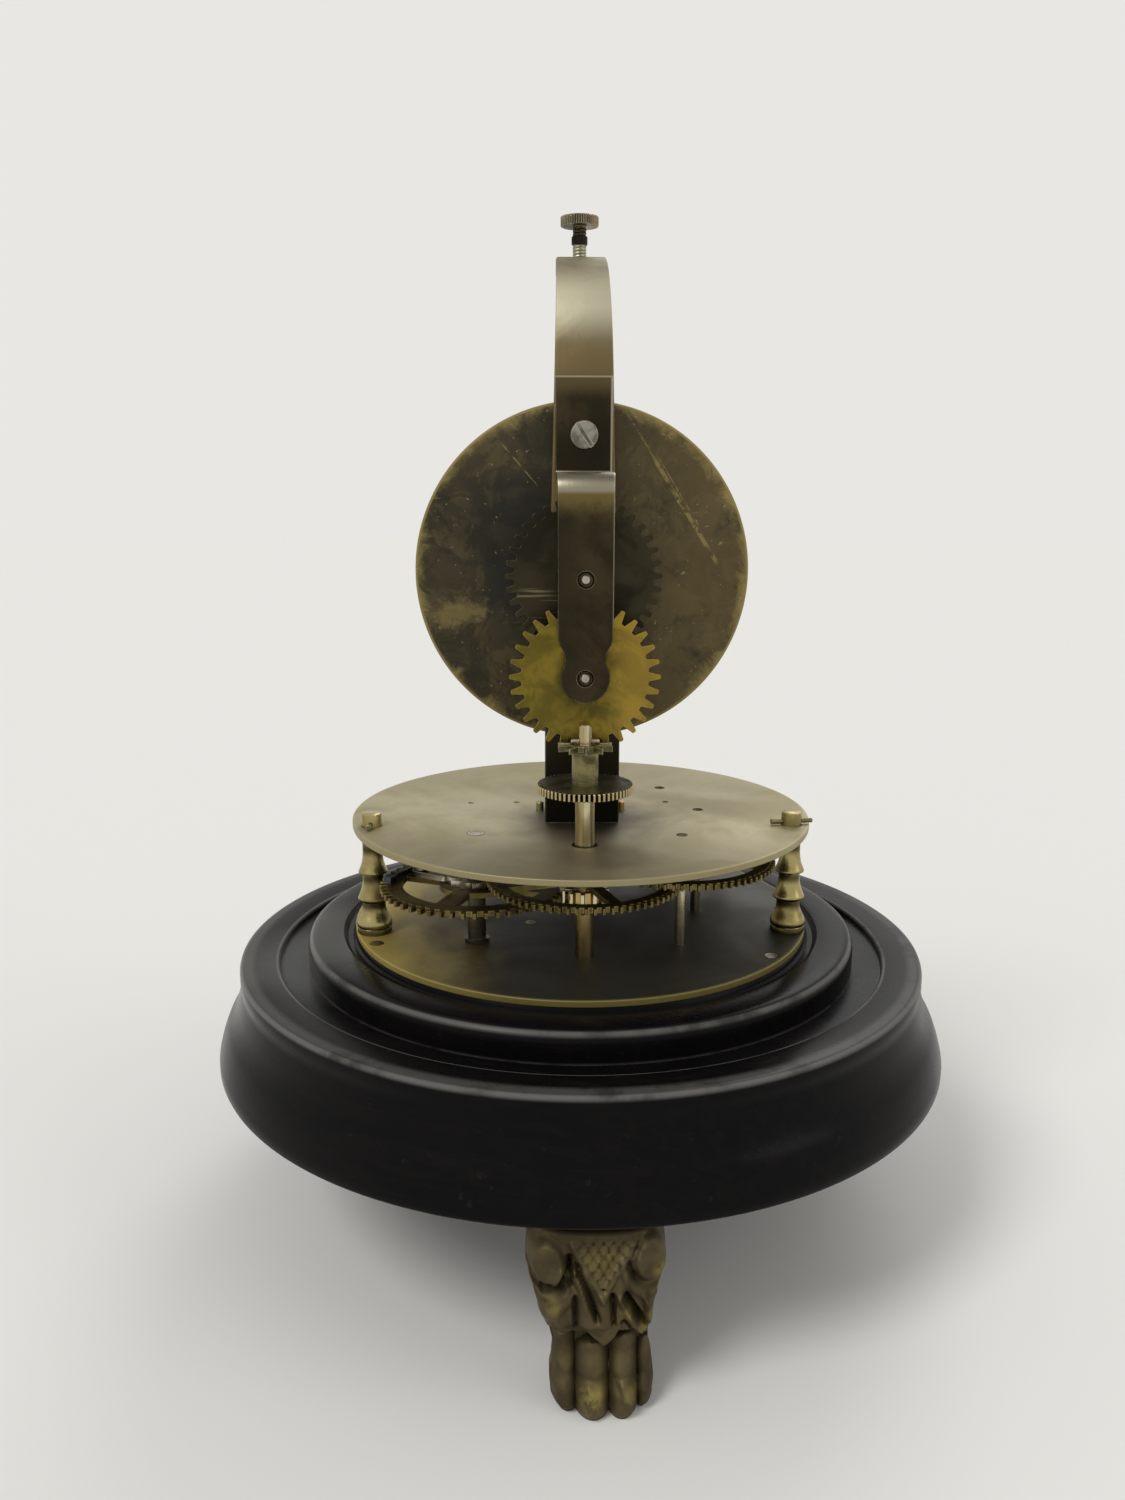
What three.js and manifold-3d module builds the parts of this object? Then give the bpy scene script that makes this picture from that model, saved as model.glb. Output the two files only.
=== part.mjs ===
// Rotary pendulum clock: a wooden base on three cast feet, a wheel train between two brass plates,
// and a swan-neck arm that carries the dial, the hand gearing and a pendulum that goes round.
// Millimetres, +Z up. The origin is on the base's axis at the soles of the feet.
// The dial faces +Y, so the open gearing at the clock's back faces -Y.
import * as THREE from 'three';
import { mergeVertices } from 'three/addons/utils/BufferGeometryUtils.js';
import Module from 'manifold-3d';

const wasm = await Module();
wasm.setup();

// Clearances
const runningFit = 0.08; // radial, for a shaft that turns in its hole
const fixedFit = 0.03; // radial, for pieces pressed or riveted together
const screwFit = 0.1; // radial, for a screw through a drilled hole
const endshake = 0.2; // for an arbor between its two bearings

// Feet
const footHeight = 40;
const footTopWidth = 26;
const footWaistWidth = 17.5;
const footToeWidth = 19.5;
const footReach = 10.5; // from the foot's middle out to its face
const footSole = 5; // height of the toes
const footPadThickness = 3;
const footPadReach = 9; // from the foot's middle in to the pad's edge
const footScrewInset = 4.6; // from the foot's middle in to its screw
const footScrewRadius = 1.6;
const footScrewHead = 3.2;
const footScrewHeadHeight = 1.8;
const footScrewLength = 11;

// Wooden base
const baseRadius = 82.5;
const footCircle = baseRadius - 12.5; // radius on which the feet stand
const baseFootBand = 1.4; // height of the square edge at the bottom
const baseWaistRadius = 77;
const baseWaistHeight = 16.4;
const rimRadius = 77.2;
const rimHeight = 21.4;
const domeSeatHeight = 19.8;
const domeSeatOuter = 68.4;
const domeSeatInner = 62.2;
const ringHeight = 26.3;
const baseBoreRadius = 46.2;
const baseFloor = 5;
const keyHoleRadius = 7;
const woodSegments = 48;

// Movement plates, drilled on these centres
const plateRadius = 51.5;
const plateThickness = 1.4;
const plateSpacing = 22.9;
const lowerPlateBottom = footHeight + ringHeight;
const lowerPlateTop = lowerPlateBottom + plateThickness;
const upperPlateBottom = lowerPlateTop + plateSpacing;
const upperPlateTop = upperPlateBottom + plateThickness;
const greatCentre = [-23, -19];
const hourCentre = [0, -28];
const thirdCentre = [21, -20.8];
const fourthCentre = [27, 0];
const fifthCentre = [20.2, 21];
const crankCentre = [0, 24];
const pillarCentres = { left: [-46, -12.6], right: [46, -12.6], front: [0, 47.7] };

// Arbors
const pivotRadius = 0.8;
const shaftRadius = 1.2;
const hourShaftRadius = 2;
const windingShaftRadius = 2;
const handShaftRadius = 1.3;
const collarRadius = 2.1;
const collarHeight = 0.6;

// Tooth counts
const teeth = {
  great: 54, hourPinion: 12, hour: 72, third: 72, fourth: 70, fifth: 64, pinion: 8,
  star: 10, minute: 30, cannon: 10, motionPinion: 9, hand: 36,
};
const wheelThickness = 1.2;
const pinionLength = 4.4;

// Levels of the wheels' undersides above the lower plate
const greatLevel = 12.3;
const hourLevel = 16.2;
const thirdLevel = 18.3;
const fourthLevel = 20.5;
const fifthLevel = 8;

// Swan-neck arm
const armFootWidth = 16.2;
const armNeckWidth = 12.2;
const armTipWidth = 10.8;
const armBack = -11;
const armDepth = 6;
const armTipThickness = 4;
const armNeckHeight = 93; // above the upper plate, where the bend starts
const armReach = crankCentre[1]; // from the base's axis to the thumb screw
const armEndRadius = 5.4;
const armFootHeight = 5;
const armFootFront = 2;

// Hand gearing, with its axes along +Y
const dialAxisHeight = 54.3; // above the upper plate
const motionDrop = 19.8; // from the hand arbor down to the motion arbor
const dialAxis = upperPlateTop + dialAxisHeight;
const motionAxis = dialAxis - motionDrop;

// Dial
const dialRadius = 36;
const dialPlateThickness = 1;
const bezelHeight = 3.4;
const bezelWidth = 3;
const faceThickness = 0.6;
const dialBoreRadius = 3.6;
const dialBack = armBack + armDepth;

// Rear cock
const cockThickness = 1.4;
const cockTabWidth = 11.9;
const cockBack = -27;
const cockTabTop = 94.5; // above the upper plate
const cockShelf = 75.3;
const cockWaistWidth = 8.3;
const cockWaistHeight = 39.5;
const cockEndRadius = 5;

// Pendulum
const pendulumPivot = 116; // above the upper plate
const pendulumTilt = THREE.MathUtils.degToRad(3.2);
const bobRadius = 7.6;
const bobHeight = 15;
const bobDrop = 90; // from the pivot to the bob's middle
const wireRadius = 0.3;
const tailRadius = 0.7;
const crankLevel = 6.4; // above the upper plate
const crankThickness = 1.6;

const toolReach = 60; // half the length of a shape that only cuts across a whole piece

const materials = {
  wood: { color: 0x1f1a1b, roughness: 0.45, metalness: 0 },
  brass: { color: 0x8f7c3a, roughness: 0.45, metalness: 0.9 },
  paleBrass: { color: 0xa89f7c, roughness: 0.5, metalness: 0.8 },
  darkBrass: { color: 0x423b24, roughness: 0.55, metalness: 0.7 },
  bronze: { color: 0x5c5132, roughness: 0.5, metalness: 0.8 },
  steel: { color: 0x9d9788, roughness: 0.35, metalness: 1 },
  darkSteel: { color: 0x40382d, roughness: 0.5, metalness: 0.8 },
  armMetal: { color: 0x6b665b, roughness: 0.5, metalness: 0.7 },
  springSteel: { color: 0x3c4350, roughness: 0.35, metalness: 1 },
  paper: { color: 0xe8e2cf, roughness: 0.8, metalness: 0 },
};

const clock = new THREE.Group();
clock.name = 'rotary_clock';

// Geometry helpers

// Turns a closed mesh inside out if its faces look inwards, and merges its shared corners.
function solid(geometry) {
  const bare = geometry.clone();
  bare.deleteAttribute('normal');
  bare.deleteAttribute('uv');
  const merged = mergeVertices(bare, 1e-5);
  const p = merged.attributes.position;
  const index = merged.index.array;
  let volume = 0;
  const a = new THREE.Vector3();
  const b = new THREE.Vector3();
  const c = new THREE.Vector3();
  const kept = [];
  for (let i = 0; i < index.length; i += 3) {
    const [u, v, w] = [index[i], index[i + 1], index[i + 2]];
    if (u === v || v === w || w === u) continue;
    kept.push(u, v, w);
    a.fromBufferAttribute(p, u);
    b.fromBufferAttribute(p, v);
    c.fromBufferAttribute(p, w);
    volume += a.dot(b.cross(c));
  }
  if (volume < 0) {
    for (let i = 0; i < kept.length; i += 3) {
      [kept[i], kept[i + 1]] = [kept[i + 1], kept[i]];
    }
  }
  merged.setIndex(kept);
  return merged;
}

function toManifold(geometry) {
  const g = solid(geometry);
  return new wasm.Manifold(new wasm.Mesh({
    numProp: 3,
    vertProperties: new Float32Array(g.attributes.position.array),
    triVerts: new Uint32Array(g.index.array),
  }));
}

function fromManifold(body) {
  const mesh = body.getMesh();
  const g = new THREE.BufferGeometry();
  g.setAttribute('position', new THREE.BufferAttribute(new Float32Array(mesh.vertProperties), 3));
  g.setIndex(Array.from(mesh.triVerts));
  return g;
}

function join(...geometries) {
  return fromManifold(geometries.map(toManifold).reduce((a, b) => a.add(b)));
}

function cut(geometry, ...tools) {
  return fromManifold(tools.map(toManifold).reduce((a, b) => a.subtract(b), toManifold(geometry)));
}

function common(a, b) {
  return fromManifold(toManifold(a).intersect(toManifold(b)));
}

function polar(radius, angle) {
  return [radius * Math.cos(angle), radius * Math.sin(angle)];
}

function circlePoints(radius, count, centre = [0, 0]) {
  return Array.from({ length: count }, (_, i) => {
    const [x, y] = polar(radius, (i * 2 * Math.PI) / count);
    return [centre[0] + x, centre[1] + y];
  });
}

// A prism on the plane z = bottom, from an outline and any holes, all lists of [x, y].
function prism(outline, holes, bottom, height) {
  const shape = new THREE.Shape(outline.map(([x, y]) => new THREE.Vector2(x, y)));
  shape.holes = holes.map((h) => new THREE.Path(h.map(([x, y]) => new THREE.Vector2(x, y))));
  return new THREE.ExtrudeGeometry(shape, { depth: height, bevelEnabled: false })
    .translate(0, 0, bottom);
}

function disc(radius, bottom, height, count = 24, centre = [0, 0], holes = []) {
  return prism(circlePoints(radius, count, centre), holes, bottom, height);
}

// A turned piece about +Z from [radius, height] points that start and end on the axis.
function turned(profile, segments = 12) {
  return new THREE.LatheGeometry(profile.map(([r, z]) => new THREE.Vector2(r, z)), segments)
    .rotateX(Math.PI / 2)
    .rotateZ(Math.PI / 2);
}

// Takes a piece built along +Z to one along +Y, with its lower end at y = back on the axis height.
function facingDial(geometry, back, height) {
  return geometry.rotateZ(Math.PI).rotateX(-Math.PI / 2).translate(0, back, height);
}

function box(width, depth, height, centre) {
  return new THREE.BoxGeometry(width, depth, height).translate(...centre);
}

function add(name, geometry, material) {
  const mesh = new THREE.Mesh(solid(geometry), new THREE.MeshStandardMaterial(materials[material]));
  mesh.geometry.computeVertexNormals();
  mesh.name = name;
  clock.add(mesh);
  return mesh;
}

// Gear helpers

// Tooth depths in modules, and widths as shares of the tooth pitch at each radius
const wheelTooth = { addendum: 0.6, dedendum: 1.1, tip: 0.2, pitch: 0.4, root: 0.58 };
const slimTooth = { addendum: 0.6, dedendum: 1.8, tip: 0.16, pitch: 0.33, root: 0.42 };
const pinionTooth = { addendum: 0.9, dedendum: 0.85, tip: 0.16, pitch: 0.42, root: 0.42 };

// The outline of a gear with a tooth centred on the angle phase; fine teeth come to a point.
function gearOutline(count, module, tooth, phase, fine) {
  const middle = (count * module) / 2;
  const top = middle + tooth.addendum * module;
  const rings = [
    [middle - tooth.dedendum * module, tooth.root],
    ...(fine ? [] : [[middle, tooth.pitch], [top, tooth.tip]]),
  ];
  const points = [];
  for (let i = 0; i < count; i += 1) {
    const angle = phase + (i * 2 * Math.PI) / count;
    const flank = (side, list) => list.map(
      ([radius, share]) => polar(radius, angle + (side * share * Math.PI * module) / 2 / radius),
    );
    points.push(...flank(-1, rings));
    if (fine) points.push(polar(top, angle));
    points.push(...flank(1, [...rings].reverse()));
  }
  return points;
}

// The openings between a wheel's arms, each bounded by two arcs.
function crossings(hubRadius, rimRadius, arms, armWidth, phase = 0) {
  const windows = [];
  for (let i = 0; i < arms; i += 1) {
    const from = phase + (i * 2 * Math.PI) / arms;
    const to = from + (2 * Math.PI) / arms;
    const points = [];
    for (const [radius, steps, ahead] of [[rimRadius, 6, true], [hubRadius, 2, false]]) {
      const inset = Math.asin(armWidth / 2 / radius);
      for (let s = 0; s <= steps; s += 1) {
        const t = ahead ? s / steps : 1 - s / steps;
        points.push(polar(radius, from + inset + t * (to - from - 2 * inset)));
      }
    }
    windows.push(points);
  }
  return windows;
}

function distance(a, b) {
  return Math.hypot(a[0] - b[0], a[1] - b[1]);
}

function direction(from, to) {
  return Math.atan2(to[1] - from[1], to[0] - from[0]);
}

// The module that makes a wheel and its pinion fill the distance between their holes.
function moduleFor(from, to, wheelTeeth, pinionTeeth) {
  return (2 * distance(from, to)) / (wheelTeeth + pinionTeeth);
}

// A crossed-out brass wheel on the plane z = bottom, round a bore, facing its pinion with a tooth.
function wheelGeometry({
  count, module, bore, bottom, phase, arms = 4, armWidth = 2.4, hub = 4.2, rim = 2.2, drilled = [],
}) {
  const root = (count * module) / 2 - wheelTooth.dedendum * module;
  return prism(
    gearOutline(count, module, wheelTooth, phase, true),
    [circlePoints(bore, 12), ...crossings(hub, root - rim, arms, armWidth, phase), ...drilled],
    bottom,
    wheelThickness,
  );
}

// A pinion, with the gap of its teeth facing the wheel that drives it.
function pinionGeometry(count, module, bottom, length, towardsWheel, tooth = pinionTooth) {
  const phase = towardsWheel + Math.PI / count;
  return prism(gearOutline(count, module, tooth, phase, false), [], bottom, length);
}

// An arbor between the plates, with a pivot in each plate and a collar below its wheel.
function arborGeometry(radius, collarTop) {
  return turned([
    [0, lowerPlateBottom],
    [pivotRadius, lowerPlateBottom],
    [pivotRadius, lowerPlateTop],
    [radius, lowerPlateTop],
    [radius, collarTop - collarHeight],
    [collarRadius, collarTop - collarHeight],
    [collarRadius, collarTop],
    [radius, collarTop],
    [radius, upperPlateBottom - endshake],
    [pivotRadius, upperPlateBottom - endshake],
    [pivotRadius, upperPlateTop + 0.3],
    [0, upperPlateTop + 0.3],
  ]);
}

// Wooden base
const baseBottom = footHeight;
const rimTop = baseBottom + rimHeight;
const coveLowRadius = baseRadius - 0.5;
// Share of the flare below the waist, and its height above the underside
const coveTurning = [[1, baseFootBand + 1.2], [0.7, 7.2], [0.46, 9.4], [0.3, 11.4], [0.12, 14]];
const baseProfile = [
  [baseBoreRadius, baseBottom + baseFloor],
  [0, baseBottom + baseFloor],
  [0, baseBottom],
  [baseRadius, baseBottom],
  [baseRadius, baseBottom + baseFootBand],
  ...coveTurning.map(([share, height]) => [
    baseWaistRadius + share * (coveLowRadius - baseWaistRadius), baseBottom + height,
  ]),
  [baseWaistRadius, baseBottom + baseWaistHeight],
  [rimRadius, baseBottom + 17.6],
  [rimRadius, rimTop - 1],
  [rimRadius - 0.3, rimTop - 0.3],
  [rimRadius - 1, rimTop],
  [domeSeatOuter, rimTop],
  [domeSeatOuter, baseBottom + domeSeatHeight],
  [domeSeatInner, baseBottom + domeSeatHeight],
  [domeSeatInner, lowerPlateBottom],
  [baseBoreRadius, lowerPlateBottom],
  [baseBoreRadius, baseBottom + baseFloor],
];
const baseScrewCircle = 48.9;
const baseScrewAngles = [-Math.PI / 6, Math.PI / 2 + 0.35, (7 * Math.PI) / 6].map((a) => a - 0.1);
const baseScrewRadius = 1.5;
const baseScrewHeadRadius = 3;
const baseScrewHeadHeight = 2;
const counterboreDepth = 9;
const footAngles = { rear: -Math.PI / 2, left: Math.PI / 2 + Math.PI / 3, right: Math.PI / 6 };
const footScrewCircle = footCircle - footScrewInset;

const baseScrewCentres = baseScrewAngles.map((a) => polar(baseScrewCircle, a));
const baseHoles = [
  disc(keyHoleRadius, baseBottom - 1, baseFloor + 2, 16, greatCentre),
  ...baseScrewCentres.flatMap((c) => [
    disc(baseScrewRadius + screwFit, baseBottom + 1, ringHeight + 2, 10, c),
    disc(baseScrewHeadRadius + 0.5, baseBottom - 1, counterboreDepth + 1, 12, c),
  ]),
  ...Object.values(footAngles).map(
    (a) => disc(footScrewRadius + fixedFit, baseBottom - 1, footScrewLength - footPadThickness + 1.3, 10,
      polar(footScrewCircle, a)),
  ),
];
add('wood_base', cut(turned(baseProfile, woodSegments), ...baseHoles), 'wood');

// Cast feet: a pad under the base, two scrolls at the shoulders, a leaf and a paw of four toes.
function footGeometry() {
  const half = [
    [footTopWidth / 2 - 1.5, footHeight],
    [footTopWidth / 2, footHeight - 4],
    [footTopWidth / 2 - 0.6, footHeight - 9],
    [footTopWidth / 2 - 3.4, footHeight - 13],
    [footWaistWidth / 2, footHeight - 20],
    [footWaistWidth / 2 - 1.2, footHeight - 27],
    [footToeWidth / 2 - 0.6, footSole + 3],
    [footToeWidth / 2, footSole - 1],
    [footToeWidth / 2 - 1.4, 0],
  ];
  const front = [...half.map(([x, z]) => [-x, z]), ...[...half].reverse()];
  const side = [
    [-footPadReach, footHeight],
    [-footPadReach, footHeight - footPadThickness],
    [0, footHeight - footPadThickness],
    [footReach - 8, footHeight - 8],
    [footReach - 6.4, footHeight - 20],
    [footReach - 7.4, footSole + 5],
    [footReach - 8, 0],
    [footReach + 1, 0],
    [footReach + 1.6, footSole - 2],
    [footReach - 0.4, footSole + 2.5],
    [footReach - 2.6, footSole + 9],
    [footReach - 1.6, footHeight - 20],
    [footReach - 0.2, footHeight - 12],
    [footReach + 0.6, footHeight - 6],
    [footReach - 0.4, footHeight],
  ];
  const acrossBody = prism(front, [], -toolReach, 2 * toolReach).rotateX(Math.PI / 2);
  const alongBody = prism(side, [], -toolReach, 2 * toolReach)
    .rotateX(Math.PI / 2).rotateZ(-Math.PI / 2);
  const scrolls = [-1, 1].map((s) => new THREE.CylinderGeometry(3.4, 3.4, 3.4, 12)
    .translate(s * (footTopWidth / 2 - 4.2), -footReach + 0.2, footHeight - 7));
  const leaf = prism([
    [0, footHeight - 24],
    [4.4, footHeight - 11],
    [3, footHeight - 4],
    [-3, footHeight - 4],
    [-4.4, footHeight - 11],
  ], [], footReach - 2, 3.2).rotateX(Math.PI / 2);
  const creases = [-1, 0, 1].map((s) => box(0.9, 2.4, footSole + 4,
    [s * (footToeWidth / 4), -footReach - 1.6, (footSole + 3) / 2]));
  const hole = disc(footScrewRadius + screwFit, footHeight - 6, 8, 10, [0, footScrewInset]);
  return cut(join(common(acrossBody, alongBody), leaf, ...scrolls), hole, ...creases);
}

const foot = footGeometry();
for (const [side, angle] of Object.entries(footAngles)) {
  add(`foot_${side}`, foot.clone().translate(0, -footCircle, 0).rotateZ(angle + Math.PI / 2), 'bronze');
  const at = polar(footScrewCircle, angle);
  const seat = footHeight - footPadThickness;
  const shank = disc(footScrewRadius, seat - 0.5, footScrewLength + 0.5, 10, at);
  const head = disc(footScrewHead, seat - footScrewHeadHeight, footScrewHeadHeight, 10, at);
  add(`foot_screw_${side}`, join(shank, head), 'steel');
}

// Plates and the pillars between them
const pillarTenonRadius = 1.7;
const pillarStubRadius = 2.2;
const pillarStubHeight = 3;
const pillarPinRadius = 0.6;
const pillarPinLength = 9.4;
const armScrewRadius = 1.45;
const armScrewY = -4.5;
const steadyPinRadius = 0.85;
const steadyPinHeight = 2.1;
const steadyPinGap = 0.3; // between a pin and the arm's foot
const steadyPinX = armFootWidth / 2 + steadyPinGap + steadyPinRadius;
const springPostRadius = 1.2;
const springOuterRadius = 14.6; // of the inner face of its last turn
const springThickness = 0.5;
const springPostAngle = Math.PI / 4;
const springPostReach = springOuterRadius + springThickness + springPostRadius + fixedFit;
const springPostCentre = polar(springPostReach, springPostAngle).map((v, k) => v + greatCentre[k]);
const spareHoles = [[-14.7, 7.5], [-25.4, 7], [20.2, 7.4]];
const spareHoleRadius = 0.7;
const pivotHole = pivotRadius + runningFit;
const windingPivotRadius = 1.2;
const pillars = Object.entries(pillarCentres);

function holes(radius, centres, count = 12) {
  return centres.map((c) => circlePoints(radius, count, c));
}

add('lower_plate', prism(circlePoints(plateRadius, 60), [
  ...holes(pivotHole, [hourCentre, thirdCentre, fourthCentre, fifthCentre, crankCentre]),
  ...holes(windingShaftRadius + runningFit, [greatCentre]),
  ...holes(pillarTenonRadius + fixedFit, pillars.map(([, c]) => c)),
  ...holes(baseScrewRadius + fixedFit, baseScrewCentres, 10),
  ...holes(springPostRadius + fixedFit, [springPostCentre]),
], lowerPlateBottom, plateThickness), 'brass');

add('upper_plate', prism(circlePoints(plateRadius, 60), [
  ...holes(pivotHole, [thirdCentre, fourthCentre, fifthCentre]),
  ...holes(windingPivotRadius + runningFit, [greatCentre]),
  ...holes(hourShaftRadius + runningFit, [hourCentre]),
  ...holes(shaftRadius + runningFit, [crankCentre]),
  ...holes(pillarStubRadius + fixedFit, pillars.map(([, c]) => c)),
  ...holes(armScrewRadius + screwFit, [[0, armScrewY]], 10),
  ...holes(steadyPinRadius + fixedFit, [[-steadyPinX, 0], [steadyPinX, 0]]),
  ...holes(spareHoleRadius, spareHoles, 8),
], upperPlateBottom, plateThickness), 'paleBrass');

// Radius at each share of the pillar's height, from the lower plate up: a foot and three bells,
// each with a lip over a narrow neck
const pillarFootRadius = 3.8;
const pillarHeadRadius = 3.1;
const pillarTurning = [
  [pillarFootRadius, 0.055], [3.9, 0.08], [3.7, 0.13], [2.7, 0.22], [2.55, 0.31], [3.45, 0.335],
  [3.45, 0.35], [2.7, 0.44], [2.3, 0.53], [2.35, 0.59], [3.2, 0.6], [3.2, 0.612], [2.5, 0.68],
  [2.15, 0.8], [2.3, 0.955], [pillarHeadRadius, 0.965],
];
for (const [side, centre] of pillars) {
  const stubTop = upperPlateTop + pillarStubHeight;
  const body = turned([
    [0, lowerPlateBottom],
    [pillarTenonRadius, lowerPlateBottom],
    [pillarTenonRadius, lowerPlateTop],
    [pillarFootRadius, lowerPlateTop],
    ...pillarTurning.map(([r, share]) => [r, lowerPlateTop + share * plateSpacing]),
    [pillarHeadRadius, upperPlateBottom],
    [pillarStubRadius, upperPlateBottom],
    [pillarStubRadius, stubTop - 0.4],
    [pillarStubRadius - 0.4, stubTop],
    [0, stubTop],
  ]);
  const pinAngle = side === 'left' ? Math.PI / 2 : 0.12;
  const pinLevel = upperPlateTop + pillarPinRadius + 0.15;
  const along = (geometry) => geometry.rotateZ(pinAngle - Math.PI / 2).translate(...centre, pinLevel);
  const pin = new THREE.CylinderGeometry(pillarPinRadius * 0.8, pillarPinRadius, pillarPinLength, 8);
  const pinHole = new THREE.CylinderGeometry(pillarPinRadius + fixedFit, pillarPinRadius + fixedFit, 8, 8);
  add(`pillar_${side}`, cut(body.translate(...centre, 0), along(pinHole)), 'brass');
  add(`pillar_pin_${side}`, along(pin), 'paleBrass');
}

baseScrewCentres.forEach((at, i) => {
  const seat = baseBottom + counterboreDepth;
  const shank = disc(baseScrewRadius, seat - 0.5, lowerPlateTop - seat + 0.5, 10, at);
  const head = disc(baseScrewHeadRadius, seat - baseScrewHeadHeight, baseScrewHeadHeight, 12, at);
  add(`base_screw_${i + 1}`, join(shank, head), 'steel');
});

// Winding arbor, great wheel, ratchet and click
function at(centre, geometry) {
  return geometry.translate(...centre, 0);
}

const level = (above) => lowerPlateTop + above;
const windingSquare = 3.2;
const windingSquareBottom = baseBottom + 1;
const windingCollarRadius = 3.4;
const ratchetTeeth = 14;
const ratchetRadius = 6.2;
const ratchetRoot = 5;
const ratchetThickness = 1.5;
const springBottom = baseBottom + baseFloor + 2;
const springHeight = lowerPlateBottom - springBottom - 1.5;
const windingShaft = turned([
  [0, springBottom],
  [windingShaftRadius, springBottom],
  [windingShaftRadius, lowerPlateTop],
  [windingCollarRadius, lowerPlateTop],
  [windingCollarRadius, level(1)],
  [windingShaftRadius, level(1)],
  [windingShaftRadius, level(greatLevel - 1)],
  [windingCollarRadius, level(greatLevel - 1)],
  [windingCollarRadius, level(greatLevel)],
  [windingShaftRadius, level(greatLevel)],
  [windingShaftRadius, upperPlateBottom - endshake],
  [windingPivotRadius, upperPlateBottom - endshake],
  [windingPivotRadius, upperPlateTop],
  [0, upperPlateTop],
]);
const squareHeight = springBottom - windingSquareBottom + 1;
const windingEnd = box(windingSquare, windingSquare, squareHeight,
  [0, 0, windingSquareBottom + squareHeight / 2]);
add('winding_arbor', at(greatCentre, join(windingShaft, windingEnd)), 'steel');

// The ratchet is drawn with a tooth's steep side at angle 0, so the spring pushes the click
// clockwise. The click reaches from its screw to just short of a steep side, and the whole set is
// then turned until the click's screw stands on an arm of the great wheel.
const clickLength = 9;
const clickHubRadius = 1.9;
const clickScrewRadius = 0.9;
const clickTipAngle = (5 * 2 * Math.PI) / ratchetTeeth;
const clickGap = 0.15; // from the click's tip to the root circle
const clickTip = polar(ratchetRoot + clickGap, clickTipAngle - 0.03);
const clickHeel = polar(ratchetRadius + 0.6, clickTipAngle - 0.03);
const clickSide = clickTipAngle - Math.PI / 4;
const clickReach = polar(clickLength, clickSide);
const clickPivot = [clickTip[0] + clickReach[0], clickTip[1] + clickReach[1]];
const clickArm = direction(greatCentre, hourCentre) + Math.PI;
const clickTurn = clickArm - Math.atan2(clickPivot[1], clickPivot[0]);

function spun(points) {
  return points.map(([x, y]) => polar(Math.hypot(x, y), Math.atan2(y, x) + clickTurn));
}

const ratchetOutline = Array.from({ length: ratchetTeeth }, (_, i) => {
  const a = (i * 2 * Math.PI) / ratchetTeeth;
  return [polar(ratchetRoot, a), polar(ratchetRadius, a)];
}).flat();
const ratchetLevel = greatLevel + wheelThickness;
add('ratchet_wheel', at(greatCentre, prism(
  spun(ratchetOutline),
  [circlePoints(windingShaftRadius + fixedFit, 12)],
  level(ratchetLevel),
  ratchetThickness,
)), 'steel');

const clickHub = [-2, -1, 0, 1, 2].map((k) => {
  const [x, y] = polar(clickHubRadius, clickSide + (k * Math.PI) / 4);
  return [clickPivot[0] + x, clickPivot[1] + y];
});
const [clickScrewAt] = spun([clickPivot]);
const clickLevel = ratchetLevel + 0.1;
add('click', at(greatCentre, prism(
  spun([clickTip, ...clickHub, clickHeel]),
  [circlePoints(clickScrewRadius + runningFit, 8, clickScrewAt)],
  level(clickLevel),
  wheelThickness,
)), 'steel');
add('click_screw', at(greatCentre, join(
  disc(clickScrewRadius, level(greatLevel), clickLevel + wheelThickness + 0.2 - greatLevel, 8,
    clickScrewAt),
  disc(clickHubRadius - 0.2, level(clickLevel + wheelThickness + 0.1), 0.9, 12, clickScrewAt),
)), 'steel');

const greatModule = moduleFor(greatCentre, hourCentre, teeth.great, teeth.hourPinion);
add('great_wheel', at(greatCentre, wheelGeometry({
  count: teeth.great,
  module: greatModule,
  bore: windingShaftRadius + runningFit,
  bottom: level(greatLevel),
  phase: direction(greatCentre, hourCentre),
  armWidth: 4,
  hub: 8,
  rim: 3.4,
  drilled: [circlePoints(clickScrewRadius + fixedFit, 8, clickScrewAt)],
})), 'brass');

// A straight flat spring behind the click, with a foot on the wheel's rim
const clickSpringThickness = 0.5;
const clickSpringLength = 12;
const clickSpringAngle = clickSide + clickTurn + Math.PI / 2 + 0.1;
const clickSpringReach = polar(clickHubRadius + 0.9, clickSide + clickTurn);
const clickSpringShift = polar(1.5, clickSpringAngle);
const clickSpring = join(
  box(clickSpringLength, clickSpringThickness, wheelThickness, [0, 0, wheelThickness / 2]),
  box(2.4, 1.8, wheelThickness + 0.1, [clickSpringLength / 2, 0, (wheelThickness - 0.1) / 2]),
).rotateZ(clickSpringAngle).translate(
  clickScrewAt[0] + clickSpringReach[0] + clickSpringShift[0],
  clickScrewAt[1] + clickSpringReach[1] + clickSpringShift[1],
  level(clickLevel),
);
add('click_spring', at(greatCentre, clickSpring), 'springSteel');

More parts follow.
